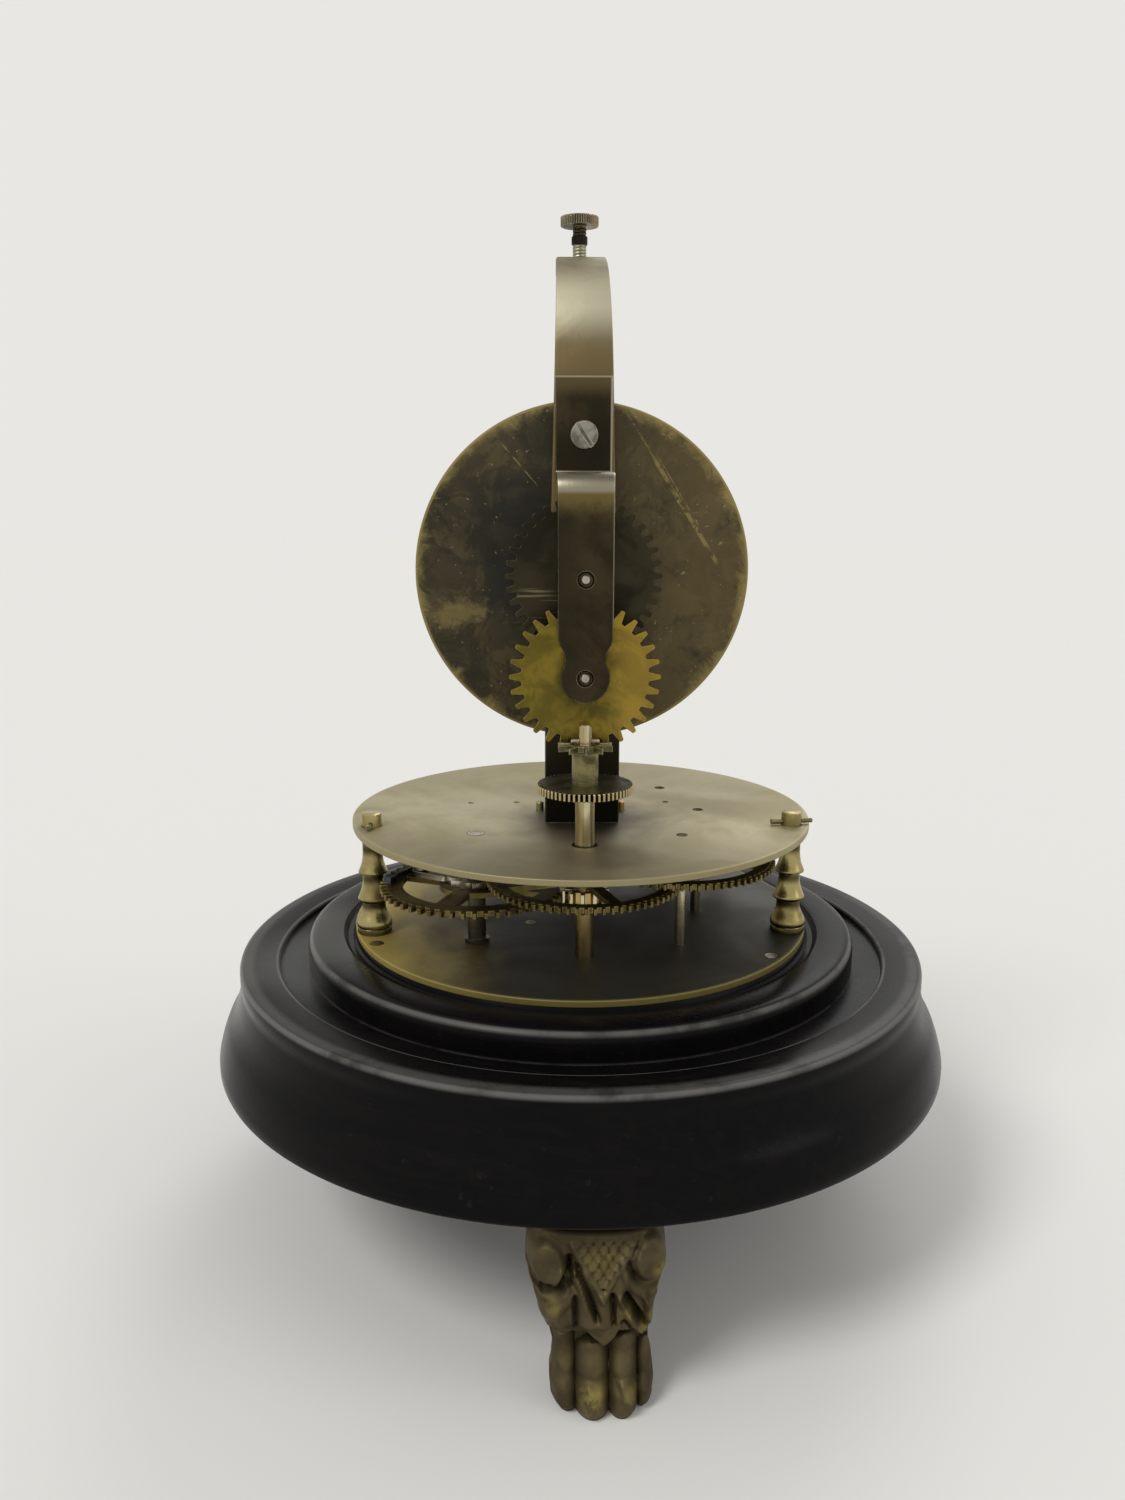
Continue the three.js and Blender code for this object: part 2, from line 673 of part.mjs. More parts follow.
// Mainspring: a flat strip wound from the arbor out to its post under the lower plate
const springTurns = 6;
const springInnerRadius = windingShaftRadius + 0.35;
const springSteps = springTurns * 12;
const spiral = Array.from({ length: springSteps + 1 }, (_, i) => {
  const share = i / springSteps;
  const a = springPostAngle + (share - 1) * springTurns * 2 * Math.PI;
  return [springInnerRadius + share * (springOuterRadius - springInnerRadius), a];
});
const springGap = (springOuterRadius - springInnerRadius) / springTurns - springThickness;
console.log(`mainspring: least gap between turns ${springGap.toFixed(2)} mm`);
add('mainspring', at(greatCentre, prism([
  ...spiral.map(([r, a]) => polar(r, a)),
  ...spiral.map(([r, a]) => polar(r + springThickness, a)).reverse(),
], [], springBottom, springHeight)), 'springSteel');
const springPostLength = lowerPlateTop - springBottom;
add('spring_post', disc(springPostRadius, springBottom, springPostLength, 12, springPostCentre), 'brass');

// Wheel train
const train = [
  { name: 'hour', centre: hourCentre, before: greatCentre, next: thirdCentre, count: teeth.hour,
    level: hourLevel, shaft: hourShaftRadius, pinion: teeth.hourPinion, driven: greatLevel,
    wheelBefore: teeth.great },
  { name: 'third', centre: thirdCentre, before: hourCentre, next: fourthCentre, count: teeth.third,
    level: thirdLevel, shaft: shaftRadius, pinion: teeth.pinion, driven: hourLevel,
    wheelBefore: teeth.hour },
  { name: 'fourth', centre: fourthCentre, before: thirdCentre, next: fifthCentre, count: teeth.fourth,
    level: fourthLevel, shaft: shaftRadius, pinion: teeth.pinion, driven: thirdLevel,
    wheelBefore: teeth.third },
  { name: 'fifth', centre: fifthCentre, before: fourthCentre, next: crankCentre, count: teeth.fifth,
    level: fifthLevel, shaft: shaftRadius, pinion: teeth.pinion, driven: fourthLevel,
    wheelBefore: teeth.fourth },
];
const minuteModule = (2 * motionDrop) / (teeth.minute + teeth.cannon);
const minuteRoot = (minuteModule * teeth.minute) / 2 - slimTooth.dedendum * minuteModule;
const starGap = 0.12; // from the star's top to the bottom of the minute wheel's teeth
const starThickness = 1.3;
const starTop = motionAxis - minuteRoot - starGap;
const starPinRadius = 0.5;
const starPinLevel = starTop + starPinRadius + 0.1;
const starPinHole = new THREE.CylinderGeometry(starPinRadius + fixedFit, starPinRadius + fixedFit, 6, 8)
  .rotateZ(Math.PI / 2)
  .translate(0, 0, starPinLevel);
const hourArborTip = 4; // above the star
const hourArborTipRadius = 1.35;

// A pinion level with the wheel that drives it, and no higher than the given ceiling.
function drivenPinion(centre, before, count, wheelBefore, driven, ceiling) {
  const module = moduleFor(before, centre, wheelBefore, count);
  const bottom = driven + wheelThickness / 2 - pinionLength / 2;
  const top = Math.min(bottom + pinionLength, ceiling);
  return pinionGeometry(count, module, level(bottom), top - bottom, direction(centre, before));
}

for (const arbor of train) {
  const shaft = arbor.name === 'hour'
    ? turned([
      [0, lowerPlateBottom],
      [pivotRadius, lowerPlateBottom],
      [pivotRadius, lowerPlateTop],
      [arbor.shaft, lowerPlateTop],
      [arbor.shaft, level(arbor.level) - collarHeight],
      [collarRadius + 0.6, level(arbor.level) - collarHeight],
      [collarRadius + 0.6, level(arbor.level)],
      [arbor.shaft, level(arbor.level)],
      [arbor.shaft, starTop],
      [hourArborTipRadius, starTop],
      [hourArborTipRadius, starTop + hourArborTip],
      [0, starTop + hourArborTip],
    ])
    : arborGeometry(arbor.shaft, level(arbor.level));
  const ceiling = arbor.level > arbor.driven ? arbor.level : plateSpacing - endshake - 0.1;
  const leaves = drivenPinion(
    arbor.centre, arbor.before, arbor.pinion, arbor.wheelBefore, arbor.driven, ceiling,
  );
  const whole = join(shaft, leaves);
  const drilled = arbor.name === 'hour' ? cut(whole, starPinHole) : whole;
  add(`${arbor.name}_arbor`, at(arbor.centre, drilled), 'steel');
  add(`${arbor.name}_wheel`, at(arbor.centre, wheelGeometry({
    count: arbor.count,
    module: moduleFor(arbor.centre, arbor.next, arbor.count, teeth.pinion),
    bore: arbor.shaft + fixedFit,
    bottom: level(arbor.level),
    phase: direction(arbor.centre, arbor.next),
  })), 'brass');
}

// Crank arbor and crank, which the pendulum's tail rides in
const crankReach = Math.tan(pendulumTilt) * (pendulumPivot - crankLevel - crankThickness / 2);
const crankCollarRadius = 2.2;
const crankShaft = turned([
  [0, lowerPlateBottom],
  [pivotRadius, lowerPlateBottom],
  [pivotRadius, lowerPlateTop],
  [shaftRadius, lowerPlateTop],
  [shaftRadius, upperPlateTop + crankLevel - 1],
  [crankCollarRadius, upperPlateTop + crankLevel - 1],
  [crankCollarRadius, upperPlateTop + crankLevel],
  [shaftRadius, upperPlateTop + crankLevel],
  [shaftRadius, upperPlateTop + crankLevel + crankThickness + 0.4],
  [0, upperPlateTop + crankLevel + crankThickness + 0.4],
]);
const crankLeaves = drivenPinion(
  crankCentre, fifthCentre, teeth.pinion, teeth.fifth, fifthLevel, plateSpacing - endshake,
);
add('crank_arbor', at(crankCentre, join(crankShaft, crankLeaves)), 'steel');

// A bar with round ends, from [x, y1] to [x, y2]
function stadium(radius, y1, y2, steps = 6) {
  const end = (y, from) => Array.from({ length: steps + 1 }, (_, i) => {
    const a = from + (i * Math.PI) / steps;
    return [radius * Math.cos(a), y + radius * Math.sin(a)];
  });
  return [...end(y2, 0), ...end(y1, Math.PI)];
}

const crankSlotRadius = tailRadius + 0.35;
add('crank', at(crankCentre, prism(stadium(3, 0, crankReach), [
  circlePoints(shaftRadius + fixedFit, 12),
  stadium(crankSlotRadius, crankReach - 1.1, crankReach + 0.8, 4),
], upperPlateTop + crankLevel, crankThickness)), 'brass');

// Setting wheel and star pinion, which turn stiffly on the hour arbor
const setWheelLevel = 11.5;
const setWheelThickness = 1.6;
const setWheelRadius = 9.9;
const setWheelKnurls = 64;
const starBossRadius = 2.7;
const starRadius = 5.75;
const starRoot = 3.3;
const starRootWidth = 0.84;
const starTipWidth = 0.4;

function knurled(radius, depth, count, bottom, height, bore) {
  const outline = Array.from({ length: count * 2 }, (_, i) => polar(
    i % 2 ? radius - depth : radius,
    (i * Math.PI) / count,
  ));
  return prism(outline, bore ? [circlePoints(bore, 12)] : [], bottom, height);
}

const slipBore = hourShaftRadius + runningFit;
add('set_wheel', at(hourCentre, knurled(
  setWheelRadius, 0.35, setWheelKnurls, upperPlateTop + setWheelLevel, setWheelThickness, slipBore,
)), 'brass');

const starPoints = Array.from({ length: teeth.star }, (_, i) => {
  const a = Math.PI / 2 + (i * 2 * Math.PI) / teeth.star;
  const rootHalf = starRootWidth / 2 / starRoot;
  const tipHalf = starTipWidth / 2 / starRadius;
  return [polar(starRoot, a - rootHalf), polar(starRadius, a - tipHalf),
    polar(starRadius, a + tipHalf), polar(starRoot, a + rootHalf)];
}).flat();
const starBossBottom = upperPlateTop + setWheelLevel + setWheelThickness;
add('star_pinion', at(hourCentre, cut(
  join(
    disc(starBossRadius, starBossBottom, starTop - starBossBottom, 16),
    prism(starPoints, [], starTop - starThickness, starThickness),
  ),
  disc(slipBore, starBossBottom - 1, starTop - starBossBottom + 2, 12),
)), 'paleBrass');
add('star_pin', at(hourCentre, new THREE.CylinderGeometry(starPinRadius, starPinRadius, 5.8, 8)
  .rotateZ(Math.PI / 2).translate(0, 0, starPinLevel)), 'steel');

// Swan-neck arm
const armFoot = upperPlateTop;
const bendFoot = armFoot + armNeckHeight;
const bendOuter = 30;
const bendY = armBack + bendOuter;
const armTop = bendFoot + bendOuter;
const armUnder = armTop - armTipThickness;
const bendSteps = 10;
const pipeRadius = 2.6;
const dialScrewRadius = 1.2;
const dialScrewLevels = [68.5, 24]; // above the upper plate
const cockScrewRadius = 1.5;
const cockScrewLevel = 82.8; // above the upper plate
const thumbScrewRadius = 1.6;

function armGeometry() {
  const quarter = (across, up) => Array.from({ length: bendSteps + 1 }, (_, i) => {
    const a = (i * Math.PI) / 2 / bendSteps;
    return [bendY - across * Math.cos(a), bendFoot + up * Math.sin(a)];
  });
  const tip = armReach + armEndRadius;
  const side = [
    [armBack, armFoot],
    [armFootFront, armFoot],
    [armFootFront, armFoot + armFootHeight - 1.5],
    [armFootFront - 1.5, armFoot + armFootHeight],
    [dialBack + 1.5, armFoot + armFootHeight],
    [dialBack, armFoot + armFootHeight + 1.5],
    ...quarter(bendY - dialBack, armUnder - bendFoot),
    [tip, armUnder],
    [tip, armTop],
    ...quarter(bendOuter, bendOuter).reverse(),
  ];
  const half = [
    [armFootWidth / 2, armFoot - 1],
    [armFootWidth / 2, armFoot + 20],
    [armNeckWidth / 2, bendFoot],
    [armTipWidth / 2, armTop + 1],
  ];
  const front = [...half.map(([x, z]) => [-x, z]), ...[...half].reverse()];
  const plan = [
    ...Array.from({ length: 9 }, (_, i) => {
      const a = (i * Math.PI) / 8;
      return [armEndRadius * Math.cos(a), armReach + armEndRadius * Math.sin(a)];
    }),
    [-armFootWidth, armReach - armEndRadius * 3],
    [-armFootWidth, armBack - 1],
    [armFootWidth, armBack - 1],
    [armFootWidth, armReach - armEndRadius * 3],
  ];
  const sideBody = prism(side, [], -armFootWidth, 2 * armFootWidth)
    .rotateX(Math.PI / 2).rotateZ(Math.PI / 2);
  const frontBody = prism(front, [], -toolReach, 2 * toolReach).rotateX(Math.PI / 2);
  const planBody = prism(plan, [], armFoot - 2, armTop - armFoot + 4);
  const through = (radius, z, from, to, count = 12) => facingDial(
    disc(radius, 0, to - from, count), from, z);
  return cut(
    common(common(sideBody, frontBody), planBody),
    through(pipeRadius + runningFit, dialAxis, armBack - 1, dialBack + 1, 16),
    through(pivotRadius + runningFit, motionAxis, armBack - 1, armBack + 2.6),
    through(cockScrewRadius + fixedFit, armFoot + cockScrewLevel, armBack - 1, armBack + 4.6),
    ...dialScrewLevels.map((z) => through(dialScrewRadius + screwFit, armFoot + z,
      armBack - 1, dialBack + 1)),
    disc(armScrewRadius + fixedFit, armFoot - 1, 4.6, 10, [0, armScrewY]),
    disc(thumbScrewRadius + runningFit, armUnder - 1, armTipThickness + 2, 16, crankCentre),
  );
}

add('arm', armGeometry(), 'armMetal');
const armScrewHead = 2.8;
add('arm_screw', join(
  disc(armScrewRadius, upperPlateBottom - 0.5, plateThickness + 4, 10, [0, armScrewY]),
  disc(armScrewHead, upperPlateBottom - 1.3, 1.3, 12, [0, armScrewY]),
), 'steel');
for (const [side, x] of [['left', -steadyPinX], ['right', steadyPinX]]) {
  add(`steady_pin_${side}`, disc(steadyPinRadius, upperPlateBottom,
    plateThickness + steadyPinHeight, 12, [x, 0]), 'paleBrass');
}

// Rear cock: a strap screwed to the arm, bent out to carry the two hand arbors
const handPivotRadius = 0.9;
const cockInside = cockBack + cockThickness;
const cockBend = 4; // outer radius of the bend under its shelf

function cockGeometry() {
  const shelf = armFoot + cockShelf;
  const top = armFoot + cockTabTop;
  const end = motionAxis - cockEndRadius - 1;
  const bend = (radius) => [0, 1, 2, 3, 4].map((i) => {
    const a = Math.PI / 2 + (i * Math.PI) / 8;
    return [cockBack + cockBend + radius * Math.cos(a), shelf - cockBend + radius * Math.sin(a)];
  });
  const side = [
    [armBack, top],
    [armBack - cockThickness, top],
    [armBack - cockThickness, shelf],
    ...bend(cockBend),
    [cockBack, end],
    [cockInside, end],
    ...bend(cockBend - cockThickness).reverse(),
    [armBack, shelf - cockThickness],
  ];
  const waist = armFoot + cockWaistHeight;
  const roundFrom = Math.asin(Math.sqrt(1 - (cockWaistWidth / 2 / cockEndRadius) ** 2));
  const round = Array.from({ length: 11 }, (_, i) => {
    const a = roundFrom - (i / 10) * (Math.PI + 2 * roundFrom);
    return [cockEndRadius * Math.cos(a), motionAxis + cockEndRadius * Math.sin(a)];
  });
  const front = [
    [-cockTabWidth / 2 + 0.5, top],
    [cockTabWidth / 2 - 0.5, top],
    [cockTabWidth / 2, top - 0.6],
    [cockTabWidth / 2 - 0.2, waist + 3],
    [cockWaistWidth / 2, waist],
    ...round,
    [-cockWaistWidth / 2, waist],
    [-cockTabWidth / 2 + 0.2, waist + 3],
    [-cockTabWidth / 2, top - 0.6],
  ];
  const sideBody = prism(side, [], -toolReach, 2 * toolReach).rotateX(Math.PI / 2).rotateZ(Math.PI / 2);
  const frontBody = prism(front, [], -toolReach, 2 * toolReach).rotateX(Math.PI / 2);
  const through = (radius, z) => facingDial(disc(radius, 0, 30, 12), cockBack - 5, z);
  return cut(
    common(sideBody, frontBody),
    through(handPivotRadius + runningFit, dialAxis),
    through(handPivotRadius + runningFit, motionAxis),
    through(cockScrewRadius + screwFit, armFoot + cockScrewLevel),
  );
}

add('rear_cock', cockGeometry(), 'darkSteel');

// A screw lying along +Y, with its head's inner face at y = seat
function lyingScrew({ radius, headRadius, headHeight, length, seat, z, slot, slotTurn = 0 }) {
  const shank = disc(radius, -0.4, length + 0.4, 12);
  const head = disc(headRadius, -headHeight, headHeight, 20);
  const slotTool = box(slot, headRadius * 3, headHeight * 0.9, [0, 0, -headHeight]).rotateZ(slotTurn);
  return facingDial(cut(join(shank, head), slotTool), seat, z);
}

add('cock_screw', lyingScrew({
  radius: cockScrewRadius,
  headRadius: 2.9,
  headHeight: 1.7,
  length: 5.6,
  seat: armBack - cockThickness,
  z: armFoot + cockScrewLevel,
  slot: 0.8,
  slotTurn: 0.9,
}), 'steel');

// Dial: a spun brass pan with a raised rim, and the printed face inside it
const dialPan = facingDial(turned([
  [dialBoreRadius, 0],
  [dialRadius - 0.5, 0],
  [dialRadius, 0.5],
  [dialRadius, bezelHeight - 0.8],
  [dialRadius - 0.8, bezelHeight],
  [dialRadius - bezelWidth + 0.8, bezelHeight],
  [dialRadius - bezelWidth, bezelHeight - 1.2],
  [dialRadius - bezelWidth, dialPlateThickness],
  [dialBoreRadius, dialPlateThickness],
  [dialBoreRadius, 0],
], 48), dialBack, dialAxis);
const dialScrewHoles = dialScrewLevels.map(
  (z) => facingDial(disc(dialScrewRadius + fixedFit, -1, dialPlateThickness + 2, 12),
    dialBack, armFoot + z),
);
add('dial_plate', cut(dialPan, ...dialScrewHoles), 'darkBrass');
const faceRadius = dialRadius - bezelWidth - 0.2;
const faceBack = dialBack + dialPlateThickness;
add('dial_face', facingDial(prism(circlePoints(faceRadius, 48),
  [circlePoints(dialBoreRadius, 16)], 0, faceThickness), faceBack, dialAxis), 'paper');
dialScrewLevels.forEach((z, i) => {
  add(`dial_screw_${i + 1}`, lyingScrew({
    radius: dialScrewRadius,
    headRadius: 2.2,
    headHeight: 1.2,
    length: armDepth + dialPlateThickness - 0.1,
    seat: armBack,
    z: armFoot + z,
    slot: 0.6,
  }), 'steel');
});

// Hand gearing behind the dial
const handModule = (2 * motionDrop) / (teeth.hand + teeth.motionPinion);
const minuteWheelBack = -24.4;
const minuteWheelThickness = 1.3;
const handWheelBack = -16.4;
const motionShaftRadius = 1.5;
const pipeFront = 0.9;
const minuteSeat = 1.7;
const handArborFront = 4.6;
const handTipRadius = 1;
const down = -Math.PI / 2;

const motionShaft = turned([
  [0, cockBack],
  [handPivotRadius, cockBack],
  [handPivotRadius, cockInside + 0.1],
  [motionShaftRadius, cockInside + 0.1],
  [motionShaftRadius, armBack - 0.1],
  [pivotRadius, armBack - 0.1],
  [pivotRadius, armBack + 2.4],
  [0, armBack + 2.4],
]);
add('motion_arbor', facingDial(join(
  motionShaft,
  pinionGeometry(teeth.motionPinion, handModule, handWheelBack - 1, 3.2, -down),
), 0, motionAxis), 'steel');
add('minute_wheel', facingDial(prism(
  gearOutline(teeth.minute, minuteModule, slimTooth, down + Math.PI / teeth.minute, false),
  [circlePoints(motionShaftRadius + fixedFit, 12)],
  minuteWheelBack,
  minuteWheelThickness,
), 0, motionAxis), 'brass');
add('minute_arbor', facingDial(join(
  turned([
    [0, cockBack],
    [handPivotRadius, cockBack],
    [handPivotRadius, cockInside + 0.1],
    [handShaftRadius, cockInside + 0.1],
    [handShaftRadius, minuteSeat],
    [handTipRadius, minuteSeat],
    [handTipRadius, handArborFront],
    [0, handArborFront],
  ], 16),
  prism(gearOutline(teeth.cannon, minuteModule, pinionTooth, down, false), [],
    minuteWheelBack - 0.5, minuteWheelThickness + 1),
), 0, dialAxis), 'steel');
const pipe = turned([
  [handShaftRadius + runningFit, handWheelBack],
  [pipeRadius + 0.9, handWheelBack],
  [pipeRadius + 0.9, armBack - 0.1],
  [pipeRadius, armBack - 0.1],
  [pipeRadius, pipeFront],
  [handShaftRadius + runningFit, pipeFront],
  [handShaftRadius + runningFit, handWheelBack],
], 16);
const handWheel = prism(
  gearOutline(teeth.hand, handModule, wheelTooth, down, false),
  [circlePoints(pipeRadius, 16)],
  handWheelBack,
  wheelThickness,
);
add('hour_hand_wheel', facingDial(join(pipe, handWheel), 0, dialAxis), 'darkBrass');

const handThickness = 0.7;
const hourHandLength = dialRadius * 0.55;
const hourHandWidth = 2;
const hourHandHub = pipeRadius + 1.2;
const minuteHandLength = dialRadius * 0.8;
const minuteHandWidth = 1.7;
const minuteHandHub = handTipRadius + 1.4;

// A spade hand, turned from upright by an angle; its bore keeps the facets of the arbor in it.
function handGeometry(length, width, hubRadius, bore, turn) {
  const spade = length * 0.68;
  const half = [
    [width * 0.35, spade - width * 1.6],
    [width * 1.5, spade],
    [width * 1.1, spade + width * 1.2],
    [width * 0.3, spade + width * 2.6],
  ];
  const neck = Math.asin(width / 2 / hubRadius);
  const hub = Array.from({ length: 14 }, (_, i) => {
    const a = Math.PI / 2 + neck + (i / 13) * (2 * Math.PI - 2 * neck);
    return [hubRadius * Math.cos(a), hubRadius * Math.sin(a)];
  });
  const outline = [...hub, ...half, [0, length], ...[...half].reverse().map(([x, y]) => [-x, y])];
  const placed = outline.map(([x, y]) => polar(Math.hypot(x, y), Math.atan2(y, x) + turn));
  return prism(placed, [circlePoints(bore, 16)], 0, handThickness);
}

const minuteTurn = THREE.MathUtils.degToRad(-51);
const hourTurn = THREE.MathUtils.degToRad(-304.25);
add('hour_hand', facingDial(
  handGeometry(hourHandLength, hourHandWidth, hourHandHub, pipeRadius + fixedFit, hourTurn),
  pipeFront - handThickness,
  dialAxis,
), 'springSteel');
add('minute_hand', facingDial(
  handGeometry(minuteHandLength, minuteHandWidth, minuteHandHub, handTipRadius + fixedFit, minuteTurn),
  minuteSeat,
  dialAxis,
), 'springSteel');
add('hand_nut', facingDial(prism(circlePoints(1.9, 16), [circlePoints(handTipRadius + fixedFit, 16)],
  0, 1.4), minuteSeat + handThickness, dialAxis), 'brass');

// Pendulum and its regulating screw, over the crank
const thumbHeadBottom = 129.3; // above the upper plate
const thumbHeadHeight = 3.4;
const thumbHeadRadius = 4.3;
const lockNutLevel = 126; // above the upper plate
const lockNutHeight = 1.8;
const screwFoot = armFoot + pendulumPivot;
add('thumb_screw', at(crankCentre, join(
  disc(thumbScrewRadius, screwFoot, thumbHeadBottom - pendulumPivot + 0.5, 16),
  knurled(thumbHeadRadius, 0.3, 32, armFoot + thumbHeadBottom, thumbHeadHeight),
)), 'brass');
add('lock_nut', prism(circlePoints(2.5, 12, crankCentre),
  [circlePoints(thumbScrewRadius + fixedFit, 16, crankCentre)],
  armFoot + lockNutLevel, lockNutHeight), 'darkSteel');

function hung(name, geometry, material) {
  const mesh = add(name, geometry, material);
  mesh.position.set(...crankCentre, screwFoot);
  mesh.rotation.x = pendulumTilt;
}

const bobTop = -(bobDrop - bobHeight / 2);
const bobBottom = -(bobDrop + bobHeight / 2);
const tailEnd = -(pendulumPivot - crankLevel + 1) / Math.cos(pendulumTilt);
hung('suspension_wire', disc(wireRadius, bobTop, -bobTop - 0.05, 6), 'steel');
hung('pendulum_bob', turned([
  [0, tailEnd],
  [tailRadius * 0.6, tailEnd],
  [tailRadius, tailEnd + 0.6],
  [tailRadius, bobBottom - 1.2],
  [tailRadius + 1.4, bobBottom],
  [bobRadius - 1.2, bobBottom + 0.6],
  [bobRadius, bobBottom + 2],
  [bobRadius, bobTop - 2.4],
  [bobRadius - 1.2, bobTop - 1],
  [1.4, bobTop - 0.6],
  [0.9, bobTop],
  [0, bobTop],
], 20), 'brass');

export default clock;
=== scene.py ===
"""Looks of the rotary pendulum clock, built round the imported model.

Shapes are drawn in millimetres in the model's own frame and become metres when a mesh is made.
"""
import math

import bmesh
import bpy
from mathutils import Matrix, Vector


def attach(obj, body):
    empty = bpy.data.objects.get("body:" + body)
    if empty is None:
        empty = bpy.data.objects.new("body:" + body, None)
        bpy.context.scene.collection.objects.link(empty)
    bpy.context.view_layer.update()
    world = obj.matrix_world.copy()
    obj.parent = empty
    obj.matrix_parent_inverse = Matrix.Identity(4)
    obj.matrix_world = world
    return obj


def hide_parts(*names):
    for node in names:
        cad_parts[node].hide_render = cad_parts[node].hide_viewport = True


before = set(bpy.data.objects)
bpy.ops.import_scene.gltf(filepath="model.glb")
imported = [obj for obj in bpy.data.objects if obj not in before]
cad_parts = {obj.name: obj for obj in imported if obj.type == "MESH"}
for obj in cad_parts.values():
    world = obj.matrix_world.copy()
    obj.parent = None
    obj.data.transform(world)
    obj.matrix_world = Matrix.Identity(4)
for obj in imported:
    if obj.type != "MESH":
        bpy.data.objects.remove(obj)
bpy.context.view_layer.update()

MM = 0.001
TAU = 2 * math.pi

# Edges stay sharp from this angle in degrees: turned and cast pieces, and flat sheet metal
SHARP = 28
SHEET = 12

# Heights and centres of the model, in millimetres
BASE_BOTTOM = 40.0
BASE_UNDERSIDE = 39.0
RING_TOP = BASE_BOTTOM + 26.3
PLATE_RADIUS = 51.5
PLATE_THICKNESS = 1.4
LOWER_TOP = RING_TOP + PLATE_THICKNESS
UPPER_BOTTOM = LOWER_TOP + 22.9
UPPER_TOP = UPPER_BOTTOM + PLATE_THICKNESS
DIAL_AXIS = UPPER_TOP + 54.3
HAND_CENTRES = 19.8
MOTION_AXIS = DIAL_AXIS - HAND_CENTRES
GREAT = (-23.0, -19.0)
SPRING_POST_CIRCLE = 16.33
HOUR = (0.0, -28.0)
THIRD = (21.0, -20.8)
FOURTH = (27.0, 0.0)
FIFTH = (20.2, 21.0)
CRANK = (0.0, 24.0)
PILLARS = {"left": (-46.0, -12.6), "right": (46.0, -12.6), "front": (0.0, 47.7)}
FOOT_ANGLES = {"rear": -math.pi / 2, "left": math.radians(150), "right": math.radians(30)}
FOOT_CIRCLE = 70.0
WHEEL_THICKNESS = 1.2
WHEEL_LEVELS = {"great": 12.3, "hour": 16.2, "third": 18.3, "fourth": 20.5, "fifth": 8.0}
ARM_BACK = -11.0
DIAL_BACK = -5.0
DIAL_RADIUS = 36.0
DIAL_HOLE = 3.6
COCK_BACK = -27.0
COCK_THICKNESS = 1.4
COCK_BEND = 4.0
COCK_END_RADIUS = 5.0
ARM_BEND_RADIUS = 30.0
ARM_TIP_RADIUS = 5.4
HOUR_SHAFT = 2.0
PIVOT_HEIGHT = 116.0
CRANK_HEIGHT = 6.4
PENDULUM_TILT = 3.2
STEADY_PIN = 0.85
STEADY_PIN_X = 9.25
SET_WHEEL_RADIUS = 9.9
STAR_THICKNESS = 1.3
MINUTE_MODULE = 2 * HAND_CENTRES / 40
MINUTE_DEDENDUM = 1.8


class Shape:
    """Points in millimetres and faces of one piece."""

    def __init__(self):
        self.points = []
        self.faces = []

    def add(self, points, faces):
        start = len(self.points)
        self.points += [tuple(p) for p in points]
        self.faces += [[i + start for i in f] for f in faces]
        return self

    def merge(self, *others):
        for other in others:
            self.add(other.points, other.faces)
        return self

    def changed(self, move):
        new = Shape()
        new.points = [tuple(move(*p)) for p in self.points]
        new.faces = [list(f) for f in self.faces]
        return new

    def moved(self, dx=0.0, dy=0.0, dz=0.0):
        return self.changed(lambda x, y, z: (x + dx, y + dy, z + dz))

    def turned(self, angle):
        c, s = math.cos(angle), math.sin(angle)
        return self.changed(lambda x, y, z: (x * c - y * s, x * s + y * c, z))

    def facing(self, back, height):
        """Takes a shape drawn along +Z to one along +Y on the clock's middle plane."""
        return self.changed(lambda x, y, z: (-x, z + back, y + height))


def polar(radius, angle, centre=(0.0, 0.0)):
    return (centre[0] + radius * math.cos(angle), centre[1] + radius * math.sin(angle))


def step(value, low, high):
    """0 below low, 1 above high and a soft rise between them."""
    t = min(1.0, max(0.0, (value - low) / (high - low)))
    return t * t * (3 - 2 * t)


def between(points, x, soft=False):
    """Reading of y at x from sorted [x, y] points, along straight lines or soft steps."""
    for (x0, y0), (x1, y1) in zip(points, points[1:]):
        if x <= x1:
            t = step(x, x0, x1) if soft else max(0.0, (x - x0) / (x1 - x0))
            return y0 + (y1 - y0) * t
    return points[-1][1]


def raised(height, profile):
    """A profile given from a height upwards."""
    return [(radius, height + z) for radius, z in profile]


def curve(points, steps=4):
    """A smooth line through the points."""
    line = []
    for i in range(len(points) - 1):
        around = [points[max(0, min(len(points) - 1, i + k))] for k in (-1, 0, 1, 2)]
        for k in range(steps):
            t = k / steps
            line.append(tuple(0.5 * (2 * b + (c - a) * t + (2 * a - 5 * b + 4 * c - d) * t ** 2
                                     + (3 * b - a - 3 * c + d) * t ** 3) for a, b, c, d in zip(*around)))
    return line + [tuple(points[-1])]


def circle(radius, count=48, centre=(0.0, 0.0)):
    return [polar(radius, TAU * i / count, centre) for i in range(count)]


def revolve(profile, steps=48, centre=(0.0, 0.0)):
    """A turned shape about +Z, from [radius, height] points."""
    closed = profile[0] == profile[-1] and profile[0][0] > 0
    stations = profile[:-1] if closed else profile
    points, rings = [], []
    for radius, height in stations:
        count = 1 if radius < 1e-6 else steps
        rings.append(range(len(points), len(points) + count))
        points += [(*polar(radius, TAU * i / steps, centre), height) for i in range(count)]
    faces = []
    pairs = list(zip(rings, rings[1:])) + ([(rings[-1], rings[0])] if closed else [])
    for low, high in pairs:
        for i in range(steps):
            j = (i + 1) % steps
            corners = [low[i % len(low)], low[j % len(low)], high[j % len(high)], high[i % len(high)]]
            face = [c for k, c in enumerate(corners) if c not in corners[:k]]
            if len(face) > 2:
                faces.append(face)
    return Shape().add(points, faces)


